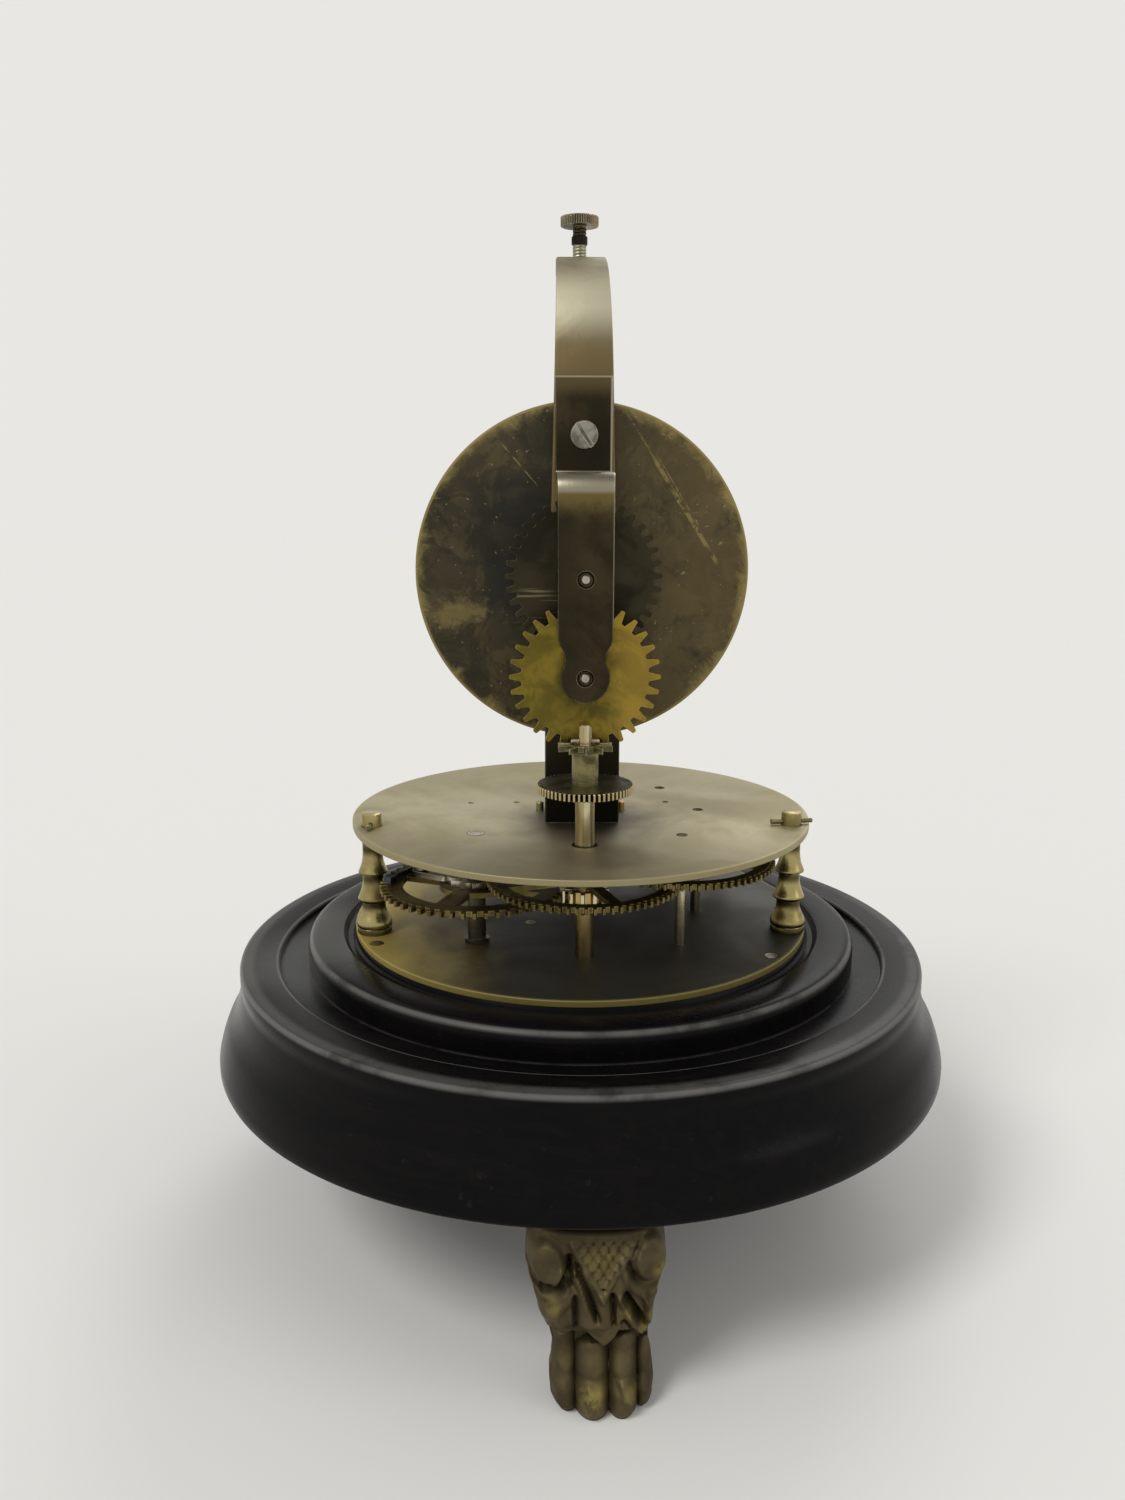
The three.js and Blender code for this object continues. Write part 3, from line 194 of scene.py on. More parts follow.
def loft(loops):
    """A closed skin over loops of [x, y, z] that all have the same number of points."""
    count = len(loops[0])
    points = [p for loop in loops for p in loop]
    faces = [list(range(count))[::-1], list(range((len(loops) - 1) * count, len(loops) * count))]
    for k in range(len(loops) - 1):
        for i in range(count):
            j = (i + 1) % count
            faces.append([k * count + i, k * count + j, (k + 1) * count + j, (k + 1) * count + i])
    return Shape().add(points, faces)


def blank(loops, bottom, height, bevel=0.1, rounds=1):
    """Sheet metal cut to an outline and any holes, with its edges eased."""
    data = bpy.data.curves.new("outline", "CURVE")
    data.dimensions = "2D"
    data.fill_mode = "BOTH"
    data.extrude = height / 2 - bevel
    data.bevel_depth = bevel
    data.bevel_resolution = rounds
    data.offset = -bevel
    for loop in loops:
        spline = data.splines.new("POLY")
        spline.points.add(len(loop) - 1)
        spline.points.foreach_set("co", [v for x, y in loop for v in (x, y, 0.0, 1.0)])
        spline.use_cyclic_u = True
    obj = bpy.data.objects.new("outline", data)
    bpy.context.scene.collection.objects.link(obj)
    mesh = bpy.data.meshes.new_from_object(obj.evaluated_get(bpy.context.evaluated_depsgraph_get()))
    shape = Shape().add([tuple(v.co) for v in mesh.vertices], [list(p.vertices) for p in mesh.polygons])
    bpy.data.objects.remove(obj)
    bpy.data.curves.remove(data)
    bpy.data.meshes.remove(mesh)
    return shape.moved(dz=bottom + height / 2)


def block(x0, x1, y0, y1, z0, z1, ease=0.3):
    """A block with eased edges all round."""
    def ring(inset, z):
        low_x, high_x, low_y, high_y = x0 + inset, x1 - inset, y0 + inset, y1 - inset
        corners = [(low_x, low_y), (high_x, low_y), (high_x, high_y), (low_x, high_y)]
        signs = [(1, 1), (-1, 1), (-1, -1), (1, -1)]
        loop = []
        for k, ((cx, cy), (sx, sy)) in enumerate(zip(corners, signs)):
            pair = [(cx, cy + sy * ease, z), (cx + sx * ease, cy, z)]
            loop += pair if k % 2 == 0 else pair[::-1]
        return loop
    return loft([ring(ease, z0), ring(0, z0 + ease), ring(0, z1 - ease), ring(ease, z1)])


def to_object(name, shape, sharp=SHARP):
    """Makes the shape's mesh in metres, with no doubled corners, smooth between sharp edges."""
    mesh = bpy.data.meshes.new(name)
    mesh.from_pydata([[v * MM for v in p] for p in shape.points], [], shape.faces)
    work = bmesh.new()
    work.from_mesh(mesh)
    bmesh.ops.remove_doubles(work, verts=work.verts, dist=1e-6)
    bmesh.ops.recalc_face_normals(work, faces=work.faces)
    work.to_mesh(mesh)
    work.free()
    mesh.polygons.foreach_set("use_smooth", [True] * len(mesh.polygons))
    mesh.set_sharp_from_angle(angle=math.radians(sharp))
    obj = bpy.data.objects.new(name, mesh)
    bpy.context.scene.collection.objects.link(obj)
    return obj


def carve(obj, tool_shape):
    """Cuts a shape out of an object's mesh."""
    tool = to_object("tool", tool_shape)
    modifier = obj.modifiers.new("carve", "BOOLEAN")
    modifier.operation = "DIFFERENCE"
    modifier.solver = "EXACT"
    modifier.object = tool
    graph = bpy.context.evaluated_depsgraph_get()
    mesh = bpy.data.meshes.new_from_object(obj.evaluated_get(graph))
    obj.modifiers.clear()
    obj.data = mesh
    bpy.data.objects.remove(tool)
    mesh.polygons.foreach_set("use_smooth", [True] * len(mesh.polygons))
    mesh.set_sharp_from_angle(angle=math.radians(SHARP))


def finish_piece(obj, body, material, nodes=()):
    obj.data.materials.clear()
    obj.data.materials.append(MATERIALS[material])
    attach(obj, body)
    if nodes:
        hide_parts(*nodes)
    return obj


def piece(name, shape, body, material, nodes=(), sharp=SHARP):
    return finish_piece(to_object(name, shape, sharp), body, material, nodes)


def fine(node, shape, body, material, sharp=SHARP):
    """The piece that stands for one node of the model."""
    return piece(f"fine_{node}", shape, body, material, [node], sharp)


# Materials


def srgb(red, green, blue):
    """A screen colour of 0 to 255 as the linear colour that a shader takes."""
    def linear(value):
        value /= 255
        return value / 12.92 if value <= 0.04045 else ((value + 0.055) / 1.055) ** 2.4
    return (linear(red), linear(green), linear(blue), 1.0)


class Surface:
    """One material and the nodes that make it."""

    def __init__(self, name):
        self.material = bpy.data.materials.new(name)
        self.material.use_nodes = True
        self.tree = self.material.node_tree
        self.shader = self.tree.nodes["Principled BSDF"]
        self.place = self.add("TexCoord").outputs["Object"]

    def add(self, kind, **settings):
        node = self.tree.nodes.new("ShaderNode" + kind)
        for key, value in settings.items():
            setattr(node, key, value)
        return node

    def feed(self, node, name, value):
        socket = node.inputs[name]
        if isinstance(value, bpy.types.NodeSocket):
            self.tree.links.new(value, socket)
        else:
            socket.default_value = srgb(*value) if socket.type == "RGBA" else value

    def noise(self, scale, detail=4.0, rough=0.55, stretch=(1, 1, 1), turn=(0, 0, 0), shift=0.0, warp=0.0):
        turned = self.add("Mapping")
        self.feed(turned, "Vector", self.place)
        self.feed(turned, "Rotation", turn)
        mapping = self.add("Mapping")
        self.feed(mapping, "Vector", turned.outputs[0])
        self.feed(mapping, "Scale", [scale * s for s in stretch])
        self.feed(mapping, "Location", (shift, shift * 1.7, shift * 0.6))
        texture = self.add("TexNoise")
        self.feed(texture, "Vector", mapping.outputs[0])
        self.feed(texture, "Scale", 1.0)
        self.feed(texture, "Detail", detail)
        self.feed(texture, "Roughness", rough)
        self.feed(texture, "Distortion", warp)
        return texture.outputs[0]

    def range(self, value, low, high, to_low=0.0, to_high=1.0, smooth=True):
        node = self.add("MapRange", interpolation_type="SMOOTHSTEP" if smooth else "LINEAR")
        self.feed(node, "Value", value)
        self.feed(node, "From Min", low)
        self.feed(node, "From Max", high)
        self.feed(node, "To Min", to_low)
        self.feed(node, "To Max", to_high)
        return node.outputs[0]

    def math(self, operation, a, b=0.0):
        node = self.add("Math", operation=operation)
        self.feed(node, 0, a)
        self.feed(node, 1, b)
        return node.outputs[0]

    def plus(self, a, b):
        return self.math("ADD", a, b)

    def minus(self, a, b):
        return self.math("SUBTRACT", a, b)

    def times(self, a, b):
        return self.math("MULTIPLY", a, b)

    def most(self, a, b):
        return self.math("MAXIMUM", a, b)

    def apart(self, a, b):
        return self.math("ABSOLUTE", self.minus(a, b))

    def mix(self, share, a, b):
        node = self.add("Mix", data_type="RGBA")
        self.feed(node, 0, share)
        self.feed(node, 6, a)
        self.feed(node, 7, b)
        return node.outputs[2]

    def axis(self, name):
        node = self.add("SeparateXYZ")
        self.feed(node, 0, self.place)
        return node.outputs[name]

    def along(self, name, *limits):
        return self.range(self.axis(name), *limits)

    def distance(self, centre, keep=(1, 1, 1)):
        """Distance in metres from a point, counting only the kept axes."""
        shifted = self.add("VectorMath", operation="SUBTRACT")
        self.feed(shifted, 0, self.place)
        self.feed(shifted, 1, [c * MM for c in centre])
        kept = self.add("VectorMath", operation="MULTIPLY")
        self.feed(kept, 0, shifted.outputs[0])
        self.feed(kept, 1, keep)
        length = self.add("VectorMath", operation="LENGTH")
        self.feed(length, 0, kept.outputs[0])
        return length.outputs["Value"]

    def edges(self, radius=0.35, low=0.03, high=0.3):
        """How close a point is to an edge, from 0 to 1."""
        bevel = self.add("Bevel", samples=4)
        self.feed(bevel, "Radius", radius * MM)
        dot = self.add("VectorMath", operation="DOT_PRODUCT")
        self.feed(dot, 0, bevel.outputs[0])
        self.feed(dot, 1, self.add("NewGeometry").outputs["Normal"])
        return self.range(self.minus(1.0, dot.outputs["Value"]), low, high)

    def bump(self, height, strength, distance):
        node = self.add("Bump")
        self.feed(node, "Height", height)
        self.feed(node, "Strength", strength)
        self.feed(node, "Distance", distance)
        self.feed(self.shader, "Normal", node.outputs[0])

    def finish(self, color, roughness, metallic=1.0, **constants):
        self.feed(self.shader, "Base Color", color)
        self.feed(self.shader, "Roughness", roughness)
        self.shader.inputs["Metallic"].default_value = metallic
        for name, value in constants.items():
            self.shader.inputs[name.replace("_", " ")].default_value = value
        return self.material


def aged_metal(name, base, stain, worn, patch=45, spots=350, spotted=0.55, edge=0.8, roughness=(0.34, 0.6),
               brushed=None, bump=0.25, shade=None, wear_and_highlights_by=None, metallic=1.0):
    """Old metal: two tones in soft patches, small spots, and edges rubbed bright with painted highlights,
    plus any wear and painted highlights passed in.
    """
    s = Surface(name)
    patches = s.range(s.noise(patch, 5, 0.6, warp=0.6), 0.38, 0.64)
    specks = s.range(s.noise(spots, 3, 0.6, shift=3.1), 0.56, 0.72)
    color = s.mix(patches, base, stain)
    color = s.mix(s.times(specks, spotted), color, stain)
    if shade:
        color = shade(s, color)
    # Edges rubbed bright with painted edge highlights
    edge_wear_and_highlights = s.times(s.edges(), edge)
    edge_wear_and_highlights = s.times(edge_wear_and_highlights, s.range(s.noise(260, 3, shift=9), 0.3, 0.6, 0.35, 1.0))
    if wear_and_highlights_by:
        edge_wear_and_highlights = s.most(edge_wear_and_highlights, wear_and_highlights_by(s))
    color = s.mix(edge_wear_and_highlights, color, worn)
    grain = s.noise(brushed[0], 2, 0.5, stretch=brushed[1]) if brushed else s.noise(900, 3, 0.6)
    rough = s.range(s.plus(s.times(patches, 0.7), s.times(grain, 0.3)),
                    0.1, 0.85, roughness[0], roughness[1], smooth=False)
    rough = s.minus(rough, s.times(edge_wear_and_highlights, 0.1))
    s.bump(s.plus(grain, s.times(specks, 0.6)), bump, 0.00006)
    return s.finish(color, rough, metallic)


def blot(s, color, centre, reach, tone, amount, keep=(1, 1, 0), ragged=0.35):
    """A soft patch of colour with a ragged edge round a point, used for stains, painted shade and painted
    sheen.
    """
    wander = s.times(s.minus(s.noise(90, 4, 0.6, shift=reach), 0.5), reach * ragged * MM)
    reached = s.plus(s.distance(centre, keep), wander)
    return s.mix(s.range(reached, reach * 0.35 * MM, reach * MM, amount, 0.0), color, tone)


def plate_shade(s, color):
    """Brown clouds over the upper plate's front, dark painted shade round the post's foot and a smudge
    beside the shaft.
    """
    cloud = s.range(s.noise(28, 4, 0.55, shift=1.3), 0.42, 0.72, 0.0, 0.35)
    color = s.mix(cloud, color, (118, 108, 80))
    color = s.mix(s.along("Y", 0.004, 0.030, 0.0, 0.65), color, (138, 130, 96))
    front = s.along("Y", -0.008, -0.050, 0.0, 0.75)
    color = s.mix(front, color, (116, 105, 76))
    # Painted shade round the post's foot: a wide blot and a darker one inside it
    color = blot(s, color, (1, -9, UPPER_TOP), 22, (62, 54, 38), 0.8)
    color = blot(s, color, (0, -9, UPPER_TOP), 13, (34, 29, 21), 0.75, ragged=0.6)
    return blot(s, color, (5, -36, UPPER_TOP), 12, (92, 76, 50), 0.6, ragged=0.7)


def lower_shade(s, color):
    """The lower plate is dark under the wheels, dark patina with painted shade, rubbed to gold on its left
    and grey on its right.
    """
    wander = s.times(s.minus(s.noise(60, 6, 0.65, shift=3), 0.5), 0.02)
    across = s.plus(s.axis("X"), wander)
    left = s.range(across, -0.050, -0.030, 0.85, 0.0)
    color = s.mix(left, color, (176, 155, 76))
    # Nearly black in the middle: dark patina with painted shade under the wheels
    color = s.mix(s.range(across, -0.031, -0.016, 0.0, 0.97), color, (14, 13, 7))
    return s.mix(s.range(across, 0.014, 0.040, 0.0, 0.9), color, (46, 43, 27))


def plate_rim(s):
    return s.range(s.distance((0, 0, 0), (1, 1, 0)), 0.0506, 0.0514, 0.0, 0.4)


def scratch(s, start, end, width, amount):
    """A broken scratch between two places on the dial's back, as a share from 0 to 1."""
    dx, dz = end[0] - start[0], end[1] - start[1]
    length = math.hypot(dx, dz)
    ux, uz = dx / length, dz / length

    def reading(a, b):
        total = s.plus(s.times(s.axis("X"), a), s.times(s.axis("Z"), b))
        return s.minus(total, (start[0] * a + start[1] * b) * MM)

    across = s.range(s.math("ABSOLUTE", reading(-uz, ux)), width * 0.4 * MM, width * MM, amount, 0.0)
    along = reading(ux, uz)
    ends = s.times(s.range(along, 0.0, 0.002), s.range(along, (length - 2) * MM, length * MM, 1.0, 0.0))
    broken = s.range(s.noise(420, 4, 0.7, shift=width), 0.42, 0.52)
    return s.times(s.times(across, ends), broken)


def dial_shade(s, color):
    """Crisp brown and olive clouds, with greener, darker painted shade to the left of the strap."""
    cloud = s.range(s.noise(95, 8, 0.72, shift=9, warp=1.0), 0.47, 0.56, 0.0, 0.6)
    color = s.mix(cloud, color, (88, 78, 54))
    cloud = s.range(s.noise(60, 8, 0.75, shift=2, warp=0.8), 0.5, 0.58, 0.0, 0.55)
    color = s.mix(cloud, color, (42, 40, 32))
    right = s.along("X", -0.002, 0.030, 0.0, 0.6)
    right = s.times(right, s.range(s.noise(46, 7, 0.7, shift=9), 0.36, 0.54))
    color = s.mix(right, color, (106, 92, 60))
    # Painted shade to the left of the strap, greener and darker
    color = blot(s, color, (-11, 0, DIAL_AXIS + 6), 19, (40, 41, 37), 0.75, (1, 0, 0.8), 1.2)
    dots = s.range(s.noise(1100, 2, 0.5, shift=6), 0.7, 0.74, 0.0, 0.6)
    return s.mix(dots, color, (150, 138, 96))


# Start and end on the dial's back as across and height, width and amount
SCRATCHES = [
    ((7.9, 181.8), (19.0, 164.3), 0.3, 0.3), ((14.7, 171.0), (29.5, 147.7), 0.6, 0.5),
    ((15.5, 171.4), (26.0, 154.6), 0.2, 0.4), ((-17.6, 173.8), (-9.3, 164.3), 0.18, 0.5),
    ((-34.0, 162.0), (-29.5, 162.0), 0.13, 0.5),
]


def dial_rim(s):
    """Gold rubbed through on the dial's edge, in a patch low on the left and in scratches."""
    reach = s.distance((0, 0, DIAL_AXIS), (1, 0, 1))
    wander = s.minus(s.noise(110, 7, 0.75, shift=4, warp=0.8), 0.5)
    rim = s.range(s.plus(reach, s.times(wander, 0.012)), 0.0335, 0.0375, 0.0, 0.7)
    line = s.range(reach, 0.0352, 0.0356, 0.0, 0.7)
    across = s.times(s.distance((-27.5, 0, 0), (1, 0, 0)), 0.5)
    patch = s.plus(across, s.distance((0, 0, DIAL_AXIS - 8.6), (0, 0, 1)))
    patch = s.range(s.plus(patch, s.times(wander, 0.016)), 0.0012, 0.0048, 0.38, 0.0)
    worn = s.most(s.most(rim, line), patch)
    for start, end, width, amount in SCRATCHES:
        worn = s.most(worn, scratch(s, start, end, width, amount))
    return worn


def hairs(s):
    """Fine scratches across the hour wheel, low on its left."""
    lines = s.range(s.noise(1000, 2, 0.5, stretch=(0.04, 1, 1), shift=3), 0.54, 0.62, 0.0, 0.6)
    near = s.plus(s.distance((-10, 0, 0), (0.4, 0, 0)), s.distance((0, 0, DIAL_AXIS - 6.2), (0, 0, 1)))
    return s.times(lines, s.range(near, 0.003, 0.0055, 1.0, 0.0))


def arm_shade(s, color):
    """The post is nearly black at its foot, dark patina with painted shade, brown below the bend and palest
    over the bend in a painted highlight, with painted shadow round the screw.
    """
    # Nearly black at the foot: dark patina with painted shade
    low = s.along("Z", 0.096, 0.150, 1.0, 0.0)
    color = s.mix(low, color, (26, 24, 19))
    bend = s.along("Z", 0.190, 0.197, 1.0, 0.0)
    color = s.mix(s.times(bend, s.along("Z", 0.150, 0.165)), color, (112, 97, 68))
    # Painted highlight over the bend
    painted_highlight = s.range(s.apart(s.axis("Z"), 0.2025), 0.001, 0.0095, 0.8, 0.0)
    color = s.mix(painted_highlight, color, (196, 190, 166))
    crest = s.along("Z", 0.2095, 0.2135)
    color = s.mix(crest, color, (124, 117, 88))
    # Painted shadow round the screw on the arm's crest
    return blot(s, color, (0, CRANK[1], UPPER_TOP + 123), 6.5, (84, 78, 54), 0.75)


def cock_shade(s, color):
    """The strap's bend has a painted grey-white highlight with a darker grey band above it, and gold shows
    below it.
    """
    back = s.along("Y", -0.018, -0.021)
    wander = s.times(s.minus(s.noise(240, 6, 0.7, shift=5), 0.5), 0.006)
    height = s.plus(s.axis("Z"), wander)
    gold = s.times(s.range(height, 0.1575, 0.1625, 0.0, 0.8), back)
    color = s.mix(gold, color, (116, 102, 62))
    # Painted highlight on the lower part of the bend
    painted_highlight = s.along("Z", 0.1628, 0.1638, 0.0, 0.75)
    color = s.mix(s.times(painted_highlight, back), color, (150, 145, 128))
    # A darker grey band higher on the bend, part of the same painted highlight
    dark = s.along("Z", 0.1648, 0.1664, 0.0, 0.75)
    color = s.mix(s.times(dark, back), color, (84, 80, 70))
    left = s.times(s.along("X", 0.001, -0.005, 0.0, 0.6), back)
    color = s.mix(s.times(left, s.along("Z", 0.164, 0.158)), color, (42, 40, 30))
    low = s.minus(1.0, s.along("Z", 0.172, 0.180))
    tab = s.along("Y", -0.021, -0.018)
    color = s.mix(s.times(s.times(low, tab), 0.8), color, (34, 32, 24))
    return s.mix(s.along("Z", 0.1815, 0.1858, 0.0, 0.75), color, (98, 85, 58))


def cock_painted_highlights(s):
    """Painted highlights: bright lines on the strap's right edge, along its upper corner and near the tab's
    top.
    """
    right = s.along("X", 0.0053, 0.0056, 0.0, 0.65)
    corner = s.apart(s.axis("Z"), UPPER_TOP * MM + 0.0753)
    top = s.along("Z", 0.18605, 0.18625, 0.0, 0.6)
    lines = s.most(right, s.range(corner, 0.00015, 0.0004, 0.6, 0.0))
    return s.most(lines, top)


def thumb_shade(s, color):
    """The screw's shank is brown below its head and bare below the lock nut."""
    color = s.mix(s.along("X", 0.001, -0.003, 0.0, 0.5), color, (88, 84, 64))
    color = s.mix(s.along("X", 0.001, 0.004, 0.0, 0.6), color, (150, 128, 92))
    color = s.mix(s.along("Z", 0.2215, 0.2219, 1.0, 0.0), color, (58, 50, 37))
    return s.mix(s.along("Z", 0.2181, 0.2177), color, (150, 146, 126))


def pillar_shade(s, color):
    """Necks and foot bands are brown."""
    reach = s.noise(260, 3, 0.5, stretch=(0.4, 0.4, 1), shift=1)
    for neck in (LOWER_TOP + 0.9, LOWER_TOP + 6.5, LOWER_TOP + 12.6, LOWER_TOP + 19.3):
        near = s.apart(s.axis("Z"), neck * MM)
        near = s.plus(near, s.times(reach, 0.0006))
        color = s.mix(s.range(near, 0.0004, 0.0021, 0.85, 0.0), color, (58, 48, 26))
    return color


def from_hour_arbor(s):
    return s.distance((*HOUR, 0), (1, 1, 0))


def steel_shade(s, color):
    """Painted reflections as dark and straw-coloured lines along the turned shafts."""
    # Painted reflections: straw-coloured and dark streaks along the shafts
    line = s.range(s.noise(620, 2, 0.5, stretch=(1, 1, 0.01), shift=5), 0.5, 0.56)
    color = s.mix(s.times(line, 0.6), color, (150, 132, 84))
    dark = s.range(s.noise(520, 2, 0.5, stretch=(1, 1, 0.01), shift=8), 0.56, 0.6)
    color = s.mix(s.times(dark, 0.7), color, (70, 62, 44))
    hour = s.range(from_hour_arbor(s), 0.004, 0.005, 0.65, 0.0)
    low = s.along("Z", 0.0925, 0.0905)
    return s.mix(s.times(hour, low), color, (176, 148, 84))


def minute_shade(s, color):
    """Olive patches, darker olive to the left, a painted shadow beside the strap, lighter brass to the
    right.
    """
    patches = s.range(s.noise(210, 7, 0.7, shift=2, warp=1.0), 0.52, 0.6, 0.0, 0.55)
    color = s.mix(patches, color, (92, 88, 44))
    color = s.mix(s.along("X", 0.000, -0.008, 0.0, 0.5), color, (104, 92, 36))
    color = s.mix(s.along("X", 0.003, 0.010, 0.0, 0.6), color, (160, 132, 58))
    # Painted shadow of the strap round the wheel's middle
    return blot(s, color, (0, 0, MOTION_AXIS), 7, (52, 46, 24), 0.65, (1, 0, 0.6), 1.0)


def knurl_rim(s):
    return s.range(from_hour_arbor(s), 0.0096, 0.0098, 0.0, 0.9)


def knurl_shade(s, color):
    """Darker brown from just inside the knurling outward."""
    return s.mix(s.range(from_hour_arbor(s), 0.0088, 0.0092), color, (44, 36, 24))


MATERIALS = {
    "upper_plate": aged_metal("upper_plate_brass", (170, 161, 131), (150, 141, 110), (178, 167, 124),
                              patch=30, shade=plate_shade, wear_and_highlights_by=plate_rim, roughness=(0.5, 0.62),
                              edge=0.5, spotted=0.3, metallic=0.75),
    "lower_plate": aged_metal("lower_plate_brass", (126, 112, 62), (104, 92, 50), (176, 158, 84),
                              patch=36, shade=lower_shade, wear_and_highlights_by=plate_rim, roughness=(0.5, 0.62),
                              metallic=0.3),
    "dial": aged_metal("dial_pan_brass", (68, 60, 43), (54, 49, 36), (156, 140, 86), patch=38,
                       shade=dial_shade, wear_and_highlights_by=dial_rim, edge=0.8, roughness=(0.44, 0.64), metallic=0.8),
    "wheel": aged_metal("wheel_brass", (122, 108, 62), (82, 72, 42), (196, 180, 124), patch=80, edge=1.0),
    "minute_wheel": aged_metal("minute_wheel_brass", (142, 122, 50), (100, 90, 42), (188, 174, 104),
                               patch=120, spots=600, edge=0.9, spotted=0.7, shade=minute_shade),
    "hand_wheel": aged_metal("hand_wheel_brass", (58, 53, 40), (46, 43, 33), (128, 120, 92), patch=90,
                             edge=0.8, wear_and_highlights_by=hairs),
    "pillar": aged_metal("pillar_brass", (168, 155, 106), (130, 117, 74), (222, 212, 170), patch=120,
                         shade=pillar_shade, roughness=(0.24, 0.4), edge=1.0, spotted=0.3),
    "set_wheel": aged_metal("set_wheel_brass", (112, 105, 76), (82, 77, 56), (190, 176, 132),
                            patch=120, shade=knurl_shade, wear_and_highlights_by=knurl_rim),
    "star": aged_metal("star_brass", (134, 126, 88), (88, 82, 56), (206, 198, 166), patch=200),
    "pin_left": aged_metal("steady_pin_metal", (170, 163, 126), (134, 127, 96), (208, 202, 170),
                           patch=200),
    "pin_right": aged_metal("steady_pin_brass", (196, 164, 116), (158, 128, 86), (222, 198, 156),
                            patch=200),
    "arm": aged_metal("arm_metal", (126, 117, 92), (100, 90, 66), (184, 176, 146), patch=50,
                      shade=arm_shade, brushed=(700, (3, 1, 0.12)), roughness=(0.54, 0.66)),
    # The strap's bright lines are painted highlights, mixed in with its rubbed edges
    "cock": aged_metal("cock_metal", (64, 55, 39), (46, 41, 30), (178, 171, 146), patch=70,
                       shade=cock_shade, brushed=(700, (3, 1, 0.12)), roughness=(0.38, 0.54), edge=0.9,
                       wear_and_highlights_by=cock_painted_highlights),
    "bob": aged_metal("bob_brass", (170, 150, 88), (132, 115, 62), (214, 198, 140), patch=90,
                      roughness=(0.2, 0.36), spotted=0.25),
    "thumb": aged_metal("thumb_brass", (122, 112, 88), (84, 76, 58), (206, 198, 176), patch=200,
                        shade=thumb_shade, edge=1.0),
    "shaft": aged_metal("shaft_steel", (206, 196, 164), (196, 184, 150), (232, 226, 206), patch=150,
                        shade=steel_shade, roughness=(0.16, 0.24), spotted=0.0, bump=0.05),
    # A darker copy of the bright steel: painted shade on the winding arbor between the plates
    "winding": aged_metal("shaded_winding_steel", (104, 99, 84), (72, 68, 56), (170, 164, 146), patch=150,
                          roughness=(0.26, 0.4), spotted=0.2),
    "steel": aged_metal("bright_steel", (188, 180, 165), (140, 128, 108), (224, 218, 206),
                        patch=150, roughness=(0.2, 0.38), spotted=0.35),
    "screw": aged_metal("screw_steel", (150, 146, 134), (106, 101, 90), (222, 218, 206), patch=260,
                        roughness=(0.3, 0.46), edge=1.0),
    "dark_steel": aged_metal("browned_steel", (40, 36, 30), (28, 26, 22), (96, 90, 80), patch=160),
    "blued": aged_metal("blued_steel", (34, 44, 92), (26, 30, 58), (96, 110, 160), patch=160,
                        roughness=(0.18, 0.32), spotted=0.2, edge=0.4),
    "spring": aged_metal("spring_steel", (84, 86, 96), (60, 58, 60), (150, 150, 155), patch=120),
    "sink": aged_metal("oil_sink_brass", (40, 35, 24), (26, 23, 17), (90, 80, 52), patch=300),
}


def wood_material():
    """Wood stained black and waxed: brown shows in the grain and on the rubbed edges, with painted
    highlights, a painted sheen and painted shade.
    """
    s = Surface("ebonised_wood")
    grain = s.noise(70, 6, 0.6, stretch=(0.6, 6, 6), turn=(0, 0, 0.4), warp=0.8)
    streaks = s.range(grain, 0.42, 0.66)
    clouds = s.range(s.noise(22, 3, 0.5, shift=2), 0.35, 0.7)
    color = s.mix(streaks, (9, 9, 10), (15, 13, 13))
    color = s.mix(s.times(clouds, 0.5), color, (19, 16, 16))
    # Rubbed edges that also carry painted highlights
    edge_wear_and_highlights = s.times(s.edges(0.9, 0.02, 0.3), s.range(s.noise(120, 4, 0.6, shift=5), 0.3, 0.52))
    color = s.mix(s.times(edge_wear_and_highlights, 0.55), color, (98, 94, 89))
    # Painted sheen on the ring's left
    color = blot(s, color, (-57, -12, 66), 26, (96, 96, 92), 0.5)
    reach = s.distance((0, 0, 0), (1, 1, 0))
    high = s.along("Z", 0.0600, 0.0608)
    broken = s.range(s.noise(70, 4, 0.6, shift=12), 0.32, 0.5, 0.35, 1.0)
    # Painted highlight lines round the rim, the dome groove's edge and the ring's shoulder, on the top only
    for radius, width, amount in ((0.0755, 0.0022, 0.3), (0.0769, 0.0006, 0.6), (0.0690, 0.0006, 0.5),
                                  (0.0615, 0.0006, 0.55)):
        line = s.range(s.apart(reach, radius), width / 6, width, amount, 0.0)
        line = s.times(s.times(line, high), broken)
        color = s.mix(line, color, (122, 120, 116))
    # Painted shade in the groove beside the plate
    color = s.mix(s.range(reach, 0.0545, 0.0538, 0.0, 0.9), color, (3, 3, 3))
    dust = s.range(s.noise(420, 3, 0.6, shift=8), 0.64, 0.8, 0.0, 0.07)
    color = s.mix(dust, color, (104, 98, 92))
    pores = s.noise(700, 2, 0.5, stretch=(0.3, 3, 3), turn=(0, 0, 0.4))
    rough = s.range(s.plus(clouds, pores), 0.4, 1.5, 0.2, 0.34, smooth=False)
    s.bump(s.plus(pores, s.times(clouds, 0.8)), 0.22, 0.00008)
    return s.finish(color, rough, metallic=0.0, Specular_IOR_Level=0.07)


